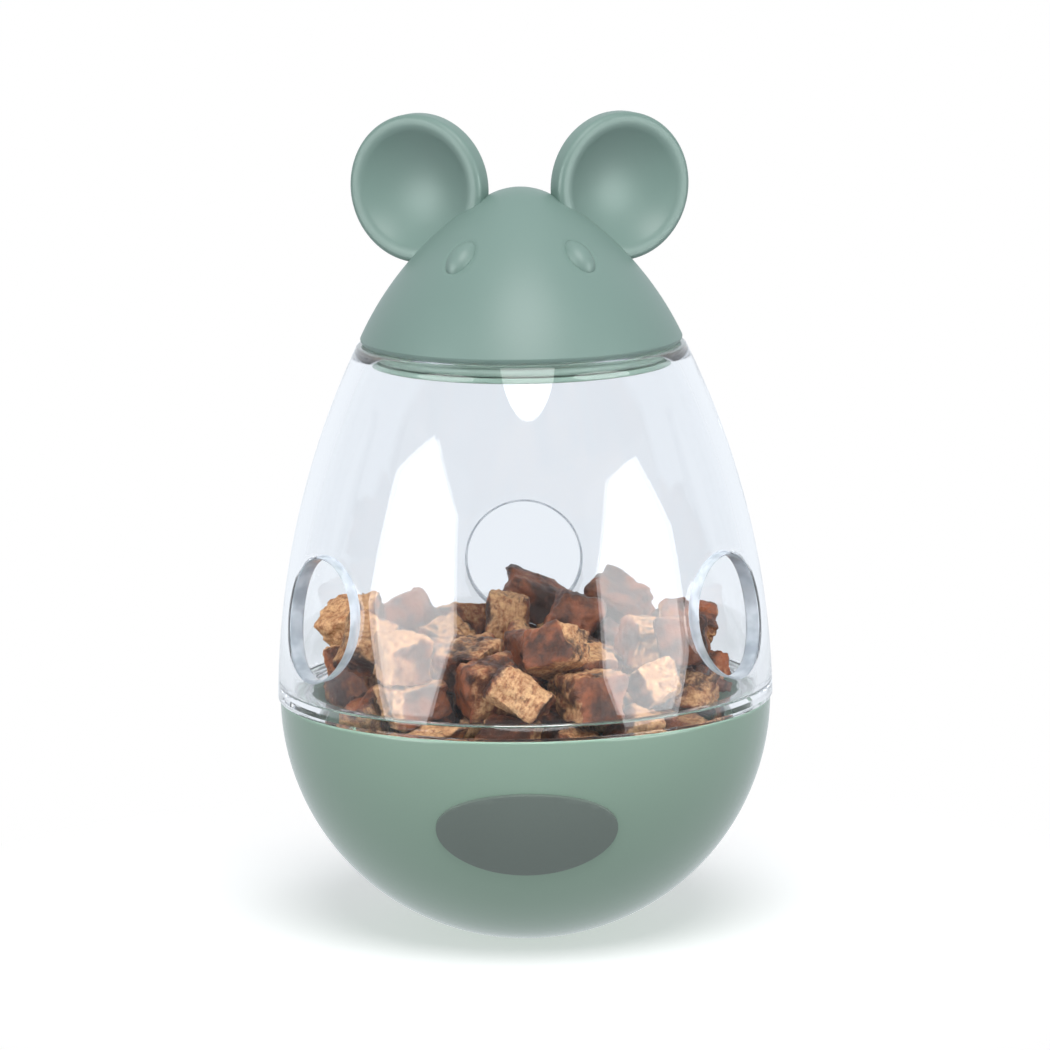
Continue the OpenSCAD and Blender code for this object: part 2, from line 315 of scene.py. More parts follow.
    @staticmethod
    def smooth(piece: Piece, angle: float = 35) -> Piece:
        """Shades a piece smooth, apart from edges sharper than an angle in degrees, and returns it."""
        Bench.hold(piece)
        bpy.ops.object.shade_smooth_by_angle(angle=math.radians(angle))
        return piece


class Value:
    """A node's output, written into shader maths as a Python value."""

    def __init__(self, nodes: "Nodes", socket: bpy.types.NodeSocket) -> None:
        """Wraps a socket of a node tree."""
        self.nodes = nodes
        self.socket = socket

    def _maths(self, operation: str, first: Any, second: Any) -> "Value":
        """Adds a Math node and returns its output."""
        return self.nodes.add("ShaderNodeMath", {"operation": operation}, {0: first, 1: second})

    def __add__(self, other: Any) -> "Value":
        """Gives self + other."""
        return self._maths("ADD", self, other)

    __radd__ = __add__

    def __mul__(self, other: Any) -> "Value":
        """Gives self * other."""
        return self._maths("MULTIPLY", self, other)

    def __sub__(self, other: Any) -> "Value":
        """Gives self - other."""
        return self._maths("SUBTRACT", self, other)

    def __rsub__(self, other: Any) -> "Value":
        """Gives other - self."""
        return self._maths("SUBTRACT", other, self)

    def larger(self, other: Any) -> "Value":
        """Gives the larger of self and other."""
        return self._maths("MAXIMUM", self, other)


class Nodes:
    """A node tree that is filled by one method."""

    def __init__(self, tree: bpy.types.NodeTree) -> None:
        """Empties a node tree to start from."""
        self.tree = tree
        tree.nodes.clear()

    def add(self, kind: str, settings: dict[str, Any] | None = None, sockets: dict[Any, Any] | None = None,
            output: Any = 0) -> Value:
        """Adds a node.

        Args:
            kind: The node's type.
            settings: Properties that are set first.
            sockets: Values or links of the input sockets, by name or number.
            output: Name or number of the output that is wanted.

        Returns:
            The output, ready for shader maths.
        """
        node = self.tree.nodes.new(kind)
        for name, value in (settings or {}).items():
            setattr(node, name, value)
        for name, value in (sockets or {}).items():
            if isinstance(value, Value):
                self.tree.links.new(value.socket, node.inputs[name])
            else:
                node.inputs[name].default_value = value
        return Value(self, node.outputs[output]) if len(node.outputs) else None

    def place(self) -> Value:
        """Gives the object's own coordinates."""
        return self.add("ShaderNodeTexCoord", None, None, "Object")

    def ray(self, kind: str) -> Value:
        """Gives 1 for rays of one kind, such as Camera or Shadow, and 0 for all others."""
        return self.add("ShaderNodeLightPath", None, None, f"Is {kind} Ray")

    def principled(self, sockets: dict[str, Any]) -> Value:
        """Adds the main shader with its values and links."""
        return self.add("ShaderNodeBsdfPrincipled", None, sockets)

    def noise(self, where: Value, size: float, detail: float = 2.0, roughness: float = 0.5) -> Value:
        """Adds a noise pattern.

        Args:
            where: Coordinates in metres.
            size: Size of the pattern in metres.
            detail: Number of finer layers.
            roughness: Share of each finer layer.

        Returns:
            The pattern, from 0 to 1.
        """
        return self.add("ShaderNodeTexNoise", None, {"Vector": where, "Scale": 1 / size, "Detail": detail,
                                                     "Roughness": roughness}, "Fac")

    def blend(self, share: Any, first: Any, second: Any) -> Value:
        """Mixes two colours.

        Args:
            share: Share of the second colour.
            first: First colour.
            second: Second colour.

        Returns:
            The mixed colour.
        """
        return self.add("ShaderNodeMix", {"data_type": "RGBA"}, {0: share, 6: first, 7: second}, 2)

    def ramped(self, value: Value, low: float, high: float) -> Value:
        """Stretches a pattern between two levels to the range 0 to 1.

        Args:
            value: The pattern.
            low: Level that becomes 0.
            high: Level that becomes 1.

        Returns:
            The stretched pattern.
        """
        return self.add("ShaderNodeMapRange", {"interpolation_type": "SMOOTHSTEP"},
                        {0: value, 1: low, 2: high, 3: 0.0, 4: 1.0})

    def bump(self, height: Value, depth: float, strength: float = 1.0) -> Value:
        """Adds a bump.

        Args:
            height: The pattern.
            depth: Depth of the pattern in metres.
            strength: Share of the effect.

        Returns:
            The normal for a shader.
        """
        return self.add("ShaderNodeBump", None, {"Height": height, "Distance": depth, "Strength": strength})


@dataclass(frozen=True)
class Finish:
    """What every finish has: its name and the record's slot that it stands for."""

    name: str
    slot: str

    def material(self) -> bpy.types.Material:
        """Gives the finish's material, which is made on first use."""
        found = bpy.data.materials.get(self.name)
        if found:
            return found
        made = bpy.data.materials.new(self.name)
        made.use_nodes = True
        nodes = Nodes(made.node_tree)
        surface = self.surface(nodes)
        nodes.add("ShaderNodeOutputMaterial", None, {"Surface": surface})
        return made

    def coat(self, piece: Piece) -> None:
        """Gives a piece this finish alone."""
        piece.data.materials.clear()
        piece.data.materials.append(self.material())

    def surface(self, nodes: Nodes) -> Value:
        """Builds the shader; each finish has its own."""
        raise NotImplementedError


@dataclass(frozen=True)
class MouldedPlastic(Finish):
    """Opaque moulded plastic, with a faint drift of colour and the grain of its mould."""

    colour: Colour
    roughness: float
    roughness_drift: float
    grain: float
    grain_depth: float
    drift: float = 0.05
    drift_size: float = 18 * MM
    speck_size: float = 0.35 * MM
    waves: float = 5 * MM
    wave_depth: float = 0.01 * MM
    speck_share: float = 0.3

    def surface(self, nodes: Nodes) -> Value:
        """Mixes two near shades, and bumps the surface with broad waves and fine grain.

        Args:
            nodes: The material's node tree.

        Returns:
            The shader.
        """
        where = nodes.place()
        flow = nodes.noise(where, self.drift_size, 3)
        speck = nodes.noise(where, self.speck_size, 1)
        shade = tuple(part * (1 - self.drift) for part in self.colour[:3]) + (1.0,)
        light = tuple(min(1.0, part * (1 + self.drift)) for part in self.colour[:3]) + (1.0,)
        colour = nodes.blend(flow * (1 - self.speck_share) + speck * self.speck_share, shade, light)
        rough = self.roughness + (flow - 0.5) * self.roughness_drift + (speck - 0.5) * self.roughness_drift
        waves = nodes.bump(nodes.noise(where, self.waves, 1), self.wave_depth)
        grain = nodes.add("ShaderNodeBump", None, {"Height": nodes.noise(where, self.grain, 2),
                                                   "Distance": self.grain_depth, "Normal": waves})
        return nodes.principled({"Base Color": colour, "Roughness": rough, "Normal": grain})


@dataclass(frozen=True)
class ClearPlastic(Finish):
    """Clear moulded plastic with a faint tint; lamps reach what is inside it."""

    tint: Colour
    shade: Colour
    ior: float = 1.47
    roughness: float = 0.012
    roughness_drift: float = 0.02
    waves: float = 14 * MM
    wave_depth: float = 0.02 * MM

    def surface(self, nodes: Nodes) -> Value:
        """Refracts with a slightly wavy surface, and lets shadow rays through.

        Args:
            nodes: The material's node tree.

        Returns:
            The shader.
        """
        where = nodes.place()
        flow = nodes.noise(where, self.waves, 2)
        clear = nodes.principled({"Base Color": self.tint, "IOR": self.ior, "Transmission Weight": 1.0,
                                  "Roughness": self.roughness + flow * self.roughness_drift,
                                  "Normal": nodes.bump(flow, self.wave_depth)})
        through = nodes.add("ShaderNodeBsdfTransparent", None, {"Color": self.shade})
        shadow = nodes.ray("Shadow")
        return nodes.add("ShaderNodeMixShader", None, {0: shadow, 1: clear, 2: through})


@dataclass(frozen=True)
class ClearEdge(Finish):
    """Cut edge of clear plastic, with a pale base colour as painted light for the light gathering in the
    wall.
    """

    tint: Colour
    painted_light: Colour
    clear_share: float = 0.35
    roughness: float = 0.16
    roughness_drift: float = 0.1
    grain: float = 3 * MM
    spread: tuple[float, float] = (0.35, 0.65)

    def surface(self, nodes: Nodes) -> Value:
        """Mixes the clear plastic's own look with a pale, unevenly bright base colour of painted light.

        Args:
            nodes: The material's node tree.

        Returns:
            The shader.
        """
        where = nodes.place()
        flow = nodes.noise(where, self.grain, 2)
        # Painted light: the pale colour stands for light gathered inside the clear wall.
        colour = nodes.blend(nodes.ramped(flow, *self.spread), self.tint, self.painted_light)
        roughness = self.roughness + flow * self.roughness_drift
        return nodes.principled({"Base Color": colour, "Roughness": roughness, "IOR": CLEAR.ior,
                                 "Transmission Weight": self.clear_share})


@dataclass(frozen=True)
class CastMetal(Finish):
    """Bare metal, cast or drawn, with stains and a rough skin."""

    colour: Colour
    stain: Colour
    roughness: float
    grain: float
    grain_depth: float
    roughness_drift: float = 0.15
    patch_size: float = 6 * MM
    metal_share: float = 0.9

    def surface(self, nodes: Nodes) -> Value:
        """Stains the metal in patches and roughens its skin.

        Args:
            nodes: The material's node tree.

        Returns:
            The shader.
        """
        where = nodes.place()
        patches = nodes.noise(where, self.patch_size, 4)
        skin = nodes.noise(where, self.grain, 3)
        return nodes.principled({"Base Color": nodes.blend(patches, self.colour, self.stain),
                                 "Metallic": self.metal_share,
                                 "Roughness": self.roughness + patches * self.roughness_drift,
                                 "Normal": nodes.bump(skin, self.grain_depth)})


@dataclass(frozen=True)
class DriedMeat(Finish):
    """Cut cubes of dried meat: dark skin, lighter cut sides, fibres along the grain, painted shade in pits.
    """

    skin: Colour
    dark_skin: Colour
    cut: Colour
    pale_cut: Colour
    fibre_size: float = 0.7 * MM
    fibre_stretch: float = 0.16
    crumb_size: float = 0.8 * MM
    patch_size: float = 4.5 * MM
    fibre_layers: tuple[int, float] = (4, 0.62)
    crumb_layers: tuple[int, float] = (5, 0.7)
    patch_layers: tuple[int, float] = (4, 0.6)
    skin_spread: tuple[float, float] = (0.38, 0.62)
    cut_spread: tuple[float, float] = (0.36, 0.64)
    share_spread: tuple[float, float] = (0.32, 0.62)
    # The pit settings paint shade where the crumbs' bump is low.
    pit_painted_shade_spread: tuple[float, float] = (0.28, 0.46)
    crumb_share: float = 0.6
    crumb_shift: float = 0.4
    pit_painted_shade: float = 0.55
    roughness: float = 0.42
    cut_roughness: float = 0.3
    fibre_height: float = 0.6
    crumb_height: float = 0.8
    bump_depth: float = 0.4 * MM
    bump_share: float = 0.9

    GRAIN: ClassVar[str] = "grain"
    TONE: ClassVar[str] = "tone"

    def surface(self, nodes: Nodes) -> Value:
        """Reads each cube's own coordinates and tone, lays fibres along its grain and paints shade into its
        pits.

        Args:
            nodes: The material's node tree.

        Returns:
            The shader.
        """
        where = nodes.add("ShaderNodeAttribute", {"attribute_name": self.GRAIN}, None, "Vector")
        tone = nodes.add("ShaderNodeAttribute", {"attribute_name": self.TONE}, None, "Fac")
        along = nodes.add("ShaderNodeVectorMath", {"operation": "MULTIPLY"},
                          {0: where, 1: (self.fibre_stretch, 1.0, 1.0)})
        fibres = nodes.noise(along, self.fibre_size, *self.fibre_layers)
        crumbs = nodes.noise(where, self.crumb_size, *self.crumb_layers)
        patches = nodes.noise(where, self.patch_size, *self.patch_layers)
        skin = nodes.blend(nodes.ramped(patches, *self.skin_spread), self.dark_skin, self.skin)
        crumbled = fibres * (1 - self.crumb_share) + crumbs * self.crumb_share
        cut = nodes.blend(nodes.ramped(crumbled, *self.cut_spread), self.cut, self.pale_cut)
        share = nodes.ramped(tone + (patches - 0.5) + (crumbs - 0.5) * self.crumb_shift, *self.share_spread)
        mixed = nodes.blend(share, skin, cut)
        # Painted shade: the colour darkens towards the dark skin where the crumbs' bump is low.
        out_of_painted_pit_shade = nodes.ramped(crumbs, *self.pit_painted_shade_spread)
        colour = nodes.blend(out_of_painted_pit_shade, nodes.blend(self.pit_painted_shade, mixed, self.dark_skin), mixed)
        height = fibres * self.fibre_height + crumbs * self.crumb_height
        roughness = self.roughness + share * self.cut_roughness
        return nodes.principled({"Base Color": colour, "Roughness": roughness,
                                 "Normal": nodes.bump(height, self.bump_depth, self.bump_share)})


@dataclass(frozen=True)
class StudioPaper(Finish):
    """White paper of the studio's floor, which keeps the toy's shadow."""

    colour: Colour
    backdrop: Colour
    dim: Colour
    glow: float
    near: float
    far: float
    fibre_size: float = 2 * MM
    roughness: float = 0.9

    def surface(self, nodes: Nodes) -> Value:
        """Takes the toy's shadow near the toy, and fades to plain white further out.

        Args:
            nodes: The material's node tree.

        Returns:
            The shader.
        """
        where = nodes.place()
        fibre = nodes.noise(where, self.fibre_size, 3)
        paper = nodes.principled({"Base Color": self.colour, "Specular IOR Level": 0.0,
                                  "Roughness": self.roughness + fibre * (1 - self.roughness),
                                  "Emission Color": WHITE, "Emission Strength": self.glow})
        seen = nodes.ray("Camera")
        soft = nodes.ray("Diffuse")
        shown = nodes.blend(soft, nodes.blend(seen, self.backdrop, WHITE), self.dim)
        white = nodes.add("ShaderNodeEmission", None, {"Color": shown, "Strength": 1.0})
        reach = nodes.add("ShaderNodeVectorMath", {"operation": "LENGTH"}, {0: where}, "Value")
        far = nodes.ramped(reach, self.near, self.far).larger(1 - seen)
        return nodes.add("ShaderNodeMixShader", None, {0: far, 1: paper, 2: white})


@dataclass(frozen=True)
class PanelGlow(Finish):
    """Glowing cloth of a soft box, a little uneven."""

    strength: float = 5.8
    shade: Colour = (0.92, 0.93, 0.95, 1.0)
    cloth_size: float = 0.2

    def surface(self, nodes: Nodes) -> Value:
        """Makes the cloth glow.

        Args:
            nodes: The material's node tree.

        Returns:
            The shader.
        """
        where = nodes.place()
        cloth = nodes.noise(where, self.cloth_size, 2)
        colour = nodes.blend(cloth, self.shade, WHITE)
        return nodes.add("ShaderNodeEmission", None, {"Color": colour, "Strength": self.strength})


GLOSS_GREEN = MouldedPlastic("gloss_green_plastic", "base_plastic", screen_colour(156, 185, 166), 0.16, 0.06,
                             0.5 * MM, 0.003 * MM)
FLOOR_GREEN = MouldedPlastic("floor_green_plastic", "floor_plastic", screen_colour(143, 169, 155), 0.35, 0.1,
                             0.3 * MM, 0.008 * MM)
SATIN_GREEN = MouldedPlastic("satin_green_plastic", "head_plastic", screen_colour(134, 161, 152), 0.42, 0.1,
                             0.22 * MM, 0.007 * MM)
# The collar's green is the head's green a little darker, painted shade for the collar under the head.
COLLAR_SHADED_GREEN = MouldedPlastic("collar_green_plastic_painted_shade", "collar_plastic", screen_colour(130, 156, 143), 0.4,
                              0.1, 0.22 * MM, 0.007 * MM)
PLAQUE_GREY = MouldedPlastic("plaque_grey_plastic", "badge_plastic", screen_colour(118, 130, 123), 0.36, 0.12,
                             0.3 * MM, 0.012 * MM, drift=0.09)
SOFT_SEAL = MouldedPlastic("soft_seal_silicone", "seal_silicone", screen_colour(124, 148, 136), 0.5, 0.1,
                           0.25 * MM, 0.006 * MM)
CLEAR = ClearPlastic("water_clear_plastic", "clear_plastic", (0.98, 0.986, 0.993, 1.0),
                     (0.93, 0.94, 0.95, 1.0))
# The edge finish's pale colour is painted light on the outlets' walls.
CLEAR_EDGE = ClearEdge("clear_plastic_edge", "clear_plastic", (0.5, 0.56, 0.63, 1.0), (0.72, 0.78, 0.85, 1.0))
CAST_IRON = CastMetal("cast_iron", "ballast_iron", (0.09, 0.09, 0.095, 1.0), (0.16, 0.12, 0.09, 1.0), 0.55,
                      0.5 * MM, 0.06 * MM)
SCREW_STEEL = CastMetal("drawn_steel", "screw_steel", (0.55, 0.55, 0.56, 1.0), (0.4, 0.39, 0.38, 1.0), 0.25,
                        0.2 * MM, 0.01 * MM)
MEAT = DriedMeat("dried_meat", "", screen_colour(140, 76, 42), screen_colour(60, 34, 23),
                 screen_colour(152, 92, 52), screen_colour(216, 172, 124))
PAPER = StudioPaper("studio_paper", "", (0.9, 0.9, 0.9, 1.0), (0.8, 0.84, 0.885, 1.0),
                    (0.46, 0.47, 0.48, 1.0), glow=0.4, near=0.05, far=0.11)
GLOW = PanelGlow("panel_glow", "")


def seat(piece: Piece, body: Body, finish: Finish, *nodes: str) -> None:
    """Gives a modelled piece its finish and its place in the frame.

    Args:
        piece: The finished mesh.
        body: The body that it rides on.
        finish: Its finish.
        nodes: The nodes of the frame that it stands for.
    """
    finish.coat(piece)
    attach(piece, body.value)
    if nodes:
        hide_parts(*nodes)
    log.info("%s: %d faces, %s, on %s", piece.name, len(piece.data.polygons), finish.name, body.value)


def dress(node: str, finish: Finish) -> None:
    """Gives a node of the frame that stays in view its finish.

    Args:
        node: The node's name.
        finish: Its finish.
    """
    finish.coat(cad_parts[node])
    log.info("%s: kept from the frame, %s", node, finish.name)


@dataclass(frozen=True)
class Sizes:
    """The toy's main sizes in metres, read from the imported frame."""

    base_r: float
    rim_z: float
    floor_z: float
    crown_z: float
    dome_r: float
    spigot_z: float
    lip_z: float
    collar_r: float
    collar_z: float
    head_r: float
    top_z: float

    CROWN: ClassVar[float] = 1.5 * MM

    @classmethod
    def read(cls) -> "Sizes":
        """Reads the sizes from the boxes of the frame's nodes."""
        bowl, floor, dome, plug, head = [
            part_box(node) for node in ("base_bowl", "treat_floor", "clear_dome", "head_plug", "head_shell")]
        return cls(base_r=bowl[1].x, rim_z=bowl[1].z, floor_z=floor[1].z - cls.CROWN, crown_z=floor[1].z,
                   dome_r=dome[1].x, spigot_z=dome[0].z, lip_z=dome[1].z, collar_r=plug[1].x,
                   collar_z=plug[0].z, head_r=head[1].x, top_z=head[1].z)


@dataclass(frozen=True)
class Thread:
    """The thread with several starts that holds the dome to the base."""

    lead: float = 15 * MM
    starts: int = 3
    first: float = 48
    step: float = 3

    def ridges(self, name: str, section: tuple[float, float, float], span: float,
               foot: float) -> list[Piece]:
        """Sweeps a square section along a helix, once for each start.

        Args:
            name: Name of the new pieces.
            section: Inner radius, outer radius and height.
            span: Angle that each ridge covers, in degrees.
            foot: Height of the section's middle at a ridge's first angle.

        Returns:
            The ridges, closed at both ends.
        """
        inner, outer, height = section
        low, high = foot - height / 2, foot + height / 2
        outline = [(inner, low), (outer, low), (outer, high), (inner, high)]
        steps = round(span / self.step)
        ridges = []
        for index in range(self.starts):
            ridge = Bench.drawn(name, outline, closed=True)
            Bench.apply(ridge, "SCREW", axis="Z", angle=math.radians(span), steps=steps, render_steps=steps,
                        screw_offset=self.lead * span / 360, use_merge_vertices=False)
            with Bench.editing(ridge, Pick.EDGES):
                Bench.pick(ridge, Pick.EDGES, lambda edge: edge.is_boundary)
                bpy.ops.mesh.fill_holes(sides=4)
                Bench.outward()
            turn = math.radians(self.first + 360 * index / self.starts)
            ridges.append(Bench.place(ridge, Matrix.Rotation(turn, 4, "Z")))
        return ridges


THREAD = Thread()


@dataclass
class WeightedBase:
    """The round base with its floor, ballast, screws, plaque and rim seal."""

    sizes: Sizes
    wall: float = 2.2 * MM
    foot_r: float = 8 * MM
    foot_flat_r: float = 4.8 * MM
    seat_h: float = 5 * MM
    floor_t: float = 2 * MM
    rim_round: float = 0.35 * MM
    rim_gap: float = 0.1 * MM
    seal_w: float = 0.8 * MM
    seal_h: float = 0.9 * MM
    seal_gap: float = 0.1 * MM
    ridge_h: float = 1 * MM
    ridge_t: float = 1.4 * MM
    ridge_sink: float = 0.3 * MM
    ridge_drop: float = 3 * MM
    ridge_span: float = 57
    plaque_w: float = 28 * MM
    plaque_h: float = 15 * MM
    plaque_t: float = 0.6 * MM
    plaque_tilt: float = 23.5
    plaque_edge: float = 0.16 * MM

    @property
    def socket_r(self) -> float:
        """Radius of the socket that takes the dome's spigot."""
        return self.sizes.base_r - self.wall

    @property
    def seal_r(self) -> float:
        """Radius of the middle of the rim seal."""
        return self.sizes.base_r - self.wall / 2

    def build(self) -> None:
        """Models and dresses the base's pieces."""
        seat(self.bowl(), Body.BASE, GLOSS_GREEN, "base_bowl")
        seat(self.plaque(), Body.BASE, PLAQUE_GREY, "front_badge")
        seat(self.seal(), Body.RIM, SOFT_SEAL, "rim_seal")
        dress("treat_floor", FLOOR_GREEN)
        dress("ballast_weight", CAST_IRON)
        dress("floor_screws", SCREW_STEEL)

    def bowl(self) -> Piece:
        """Turns the bowl and adds its thread ridges.

        Returns:
            The bowl.
        """
        s = self.sizes
        top = s.rim_z - self.rim_gap
        edge = self.rim_round
        ledge = s.floor_z - self.floor_t
        groove_out = self.seal_r + self.seal_w / 2 + self.seal_gap
        groove_in = self.seal_r - self.seal_w / 2 - self.seal_gap
        groove_z = s.rim_z - self.seal_h - self.seal_gap
        foot_turn = math.degrees(math.acos(self.foot_r / s.base_r))
        ledge_turn = math.degrees(math.asin((s.rim_z - ledge) / self.socket_r))
        seat_turn = math.degrees(math.asin((s.rim_z - self.seat_h) / self.socket_r))
        outline = [(0, 0), (self.foot_flat_r, 0)]
        outline += arc((0, s.rim_z), s.base_r, -foot_turn, -math.degrees(2 * edge / s.base_r), 60)
        outline += arc((s.base_r - edge, top - edge), edge, 0, 90, 5)
        outline += [(groove_out, top), (groove_out, groove_z), (groove_in, groove_z), (groove_in, top)]
        outline += arc((self.socket_r + edge, top - edge), edge, 90, 180, 4)
        outline += [(self.socket_r, ledge)]
        outline += arc((0, s.rim_z), self.socket_r, -ledge_turn, -seat_turn, 24)
        outline += [(0, self.seat_h)]
        bowl = Bench.turned("base_bowl_shell", outline)
        section = (self.socket_r - self.ridge_h, self.socket_r + self.ridge_sink, self.ridge_t)
        ridges = THREAD.ridges("base_ridge", section, self.ridge_span, s.rim_z - self.ridge_drop)
        return Bench.smooth(Bench.joined(bowl, *ridges))

    def plaque(self) -> Piece:
        """Cuts the blank plaque from a thin round shell.

        Returns:
            The plaque.
        """
        s = self.sizes
        outer = s.base_r + self.plaque_t
        oval = arc((0, 0), self.plaque_w / 2, 0, 360, 96, self.plaque_h / 2)[:-1]
        plaque = Bench.drawn("blank_plaque", oval, closed=True)
        with Bench.editing(plaque):
            bpy.ops.mesh.edge_face_add()
            bpy.ops.mesh.extrude_region_move(TRANSFORM_OT_translate={"value": (0, -outer - self.plaque_t, 0)})
            Bench.outward()
        tilt = Matrix.Rotation(math.radians(self.plaque_tilt), 4, "X")
        Bench.place(plaque, Matrix.Translation((0, 0, s.rim_z)) @ tilt)
        Bench.cut(plaque, self.ball(outer), "INTERSECT")
        Bench.cut(plaque, self.ball(s.base_r - self.plaque_edge))
        Bench.apply(plaque, "BEVEL", width=self.plaque_edge, segments=2, limit_method="ANGLE",
                    angle_limit=math.radians(50))
        return Bench.smooth(plaque, 40)

    def ball(self, radius: float) -> Piece:
        """Turns a ball about the middle of the base's rim.

        Args:
            radius: Radius of the ball.

        Returns:
            The ball, as a tool for cutting.
        """
        return Bench.turned("ball", arc((0, self.sizes.rim_z), radius, -90, 90, 96))

    def seal(self) -> Piece:
        """Turns the seal ring in the rim.

        Returns:
            The ring.
        """
        low = self.sizes.rim_z - self.seal_h - self.seal_gap
        edge = self.seal_w / 4
        right, left = self.seal_r + self.seal_w / 2 - edge, self.seal_r - self.seal_w / 2 + edge
        top = low + self.seal_h - edge
        outline = [*arc((right, low + edge), edge, -90, 0, 3), *arc((right, top), edge, 0, 90, 3),
                   *arc((left, top), edge, 90, 180, 3), *arc((left, low + edge), edge, 180, 270, 3)]
        return Bench.smooth(Bench.turned("rim_seal_ring", outline, closed=True))


@dataclass
class ClearDome:
    """The clear dome with its flange, spigot, thread lugs and three outlets."""

    sizes: Sizes
    wall: float = 2.4 * MM
    arc_drop: float = 2 * MM
    flange_t: float = 1.8 * MM
    spigot_r: float = 35.2 * MM
    spigot_wall: float = 1.4 * MM
    neck_r: float = 24.2 * MM
    edge: float = 0.3 * MM
    lug_reach: float = 1 * MM
    lug_sink: float = 0.3 * MM
    lug_t: float = 1.4 * MM
    lug_rise: float = 0.2 * MM
    lug_span: float = 24
    outlet_d: float = 18.8 * MM
    outlet_rise: float = 15.5 * MM
    outlet_count: int = 3
    outlet_steps: int = 72
    outlet_land: float = 1.4 * MM
    outlet_round: float = 0.4 * MM
    outlet_margin: float = 0.6 * MM
    wall_facing: float = 0.97
    throat_step: float = 0.05 * MM
    ring_start: tuple[float, float] = (0.6, 1.2)
    near: float = 0.02 * MM
    far: float = 1.0
    back: float = 90

    def __post_init__(self) -> None:
        """Works out the circle of the side arc, which passes through the lower edge and the lip."""
        s = self.sizes
        self.arc_z = s.rim_z - self.arc_drop
        rise = s.lip_z - self.arc_z
        self.arc_x = (s.dome_r**2 - s.head_r**2 + self.arc_drop**2 - rise**2) / (2 * (s.dome_r - s.head_r))
        self.arc_r = math.hypot(s.dome_r - self.arc_x, self.arc_drop)

    def side_r(self, height: float, inset: float = 0.0) -> float:
        """Gives the radius of the dome's side.

        Args:
            height: Height above the foot.
            inset: Distance in from the outer face.

        Returns:
            The radius at that height.
        """
        return self.arc_x + math.sqrt((self.arc_r - inset) ** 2 - (height - self.arc_z) ** 2)

    def side(self, low: float, high: float, inset: float, steps: int) -> list[Point]:
        """Gives points along the dome's side.

        Args:
            low: First height.
            high: Last height.
            inset: Distance in from the outer face.
            steps: Number of straight steps.

        Returns:
            The points, from the first height to the last.
        """
        heights = [low + (high - low) * i / steps for i in range(steps + 1)]
        return [(self.side_r(z, inset), z) for z in heights]

    def build(self) -> None:
        """Models and dresses the dome."""
        dome = self.blank()
        for way in self.outlet_ways():
            self.open_outlet(dome, way)
        seat(Bench.smooth(dome, 30), Body.DOME, CLEAR, "clear_dome")
        # The outlets' walls get the edge finish, whose pale colour is painted light.
        dome.data.materials.append(CLEAR_EDGE.material())
        for face in dome.data.polygons:
            face.material_index = int(self.is_edge(face))

    def outlet_ways(self) -> list[Vector]:
        """Gives the directions of the outlets, the back one first."""
        turns = [math.radians(self.back + 360 * i / self.outlet_count) for i in range(self.outlet_count)]
        return [Vector((math.cos(turn), math.sin(turn), 0)) for turn in turns]

    def outlet_centre(self) -> Vector:
        """Gives the point where the outlets' axes meet."""
        return Vector((0, 0, self.sizes.rim_z + self.outlet_rise))

    def off_axis(self, point: Vector, way: Vector) -> float:
        """Gives a point's distance from an outlet's axis.

        Args:
            point: A point on the dome.
            way: Direction of the outlet.

        Returns:
            The distance, far for points behind the axis.
        """
        reach = point - self.outlet_centre()
        along = reach.dot(way)
        return (reach - along * way).length if along > 0 else self.far

    def is_edge(self, face: bpy.types.MeshPolygon) -> bool:
        """Tells whether a face lies on an outlet's wall, which gets painted light from the edge finish.

        Args:
            face: A face of the dome.

        Returns:
            True for those faces.
        """
        for way in self.outlet_ways():
            if self.off_axis(face.center, way) < self.outlet_d / 2 + self.outlet_round:
                return abs(face.normal.dot(way)) < self.wall_facing
        return False

    def blank(self) -> Piece:
        """Turns the dome without its outlets and adds the lugs of its thread.

        Returns:
            The dome, closed all round.
        """
        s, e = self.sizes, self.edge
        ledge = s.rim_z + self.flange_t
        bore = self.spigot_r - self.spigot_wall
        throat = s.lip_z - e
        while self.side_r(throat, self.wall) < self.neck_r:
            throat -= self.throat_step
        outline = arc((s.dome_r - e, s.rim_z + e), e, -90, 0, 3)
        outline += self.side(s.rim_z + 2 * e, s.lip_z - e, 0, 60)
        outline += arc((s.head_r - e, s.lip_z - e), e, 20, 90, 3)
        outline += arc((self.neck_r + e, s.lip_z - e), e, 90, 180, 3)
        outline += self.side(throat, ledge + 2 * e, self.wall, 60)
        outline += arc((self.side_r(ledge, self.wall) - 2 * e, ledge + 2 * e), 2 * e, 0, -90, 4)[1:]
        outline += arc((bore + e, ledge - e), e, 90, 180, 3)
        outline += arc((bore + e, s.spigot_z + e), e, 180, 270, 3)
        outline += arc((self.spigot_r - e, s.spigot_z + e), e, -90, 0, 3)
        outline += [(self.spigot_r, s.rim_z)]
        dome = Bench.turned("clear_dome_shell", outline, closed=True)
        section = (self.spigot_r - self.lug_sink, self.spigot_r + self.lug_reach, self.lug_t)
        foot = s.spigot_z + self.lug_rise + self.lug_t / 2
        for lug in THREAD.ridges("dome_lug", section, self.lug_span, foot):
            Bench.cut(dome, lug, "UNION")
        return dome

    def is_outer(self, point: Vector) -> bool:
        """Tells whether a point lies nearer the outer face than the inner one."""
        return math.hypot(point.x, point.y) > self.side_r(point.z, self.wall / 2)

    def open_outlet(self, dome: Piece, way: Vector) -> None:
        """Opens one outlet: clears its patch, lays a ring on each face and bridges the gaps.

        Args:
            dome: The dome to open.
            way: Direction of the outlet.
        """
        hole = self.outlet_d / 2
        patch = hole + self.outlet_land + self.outlet_margin

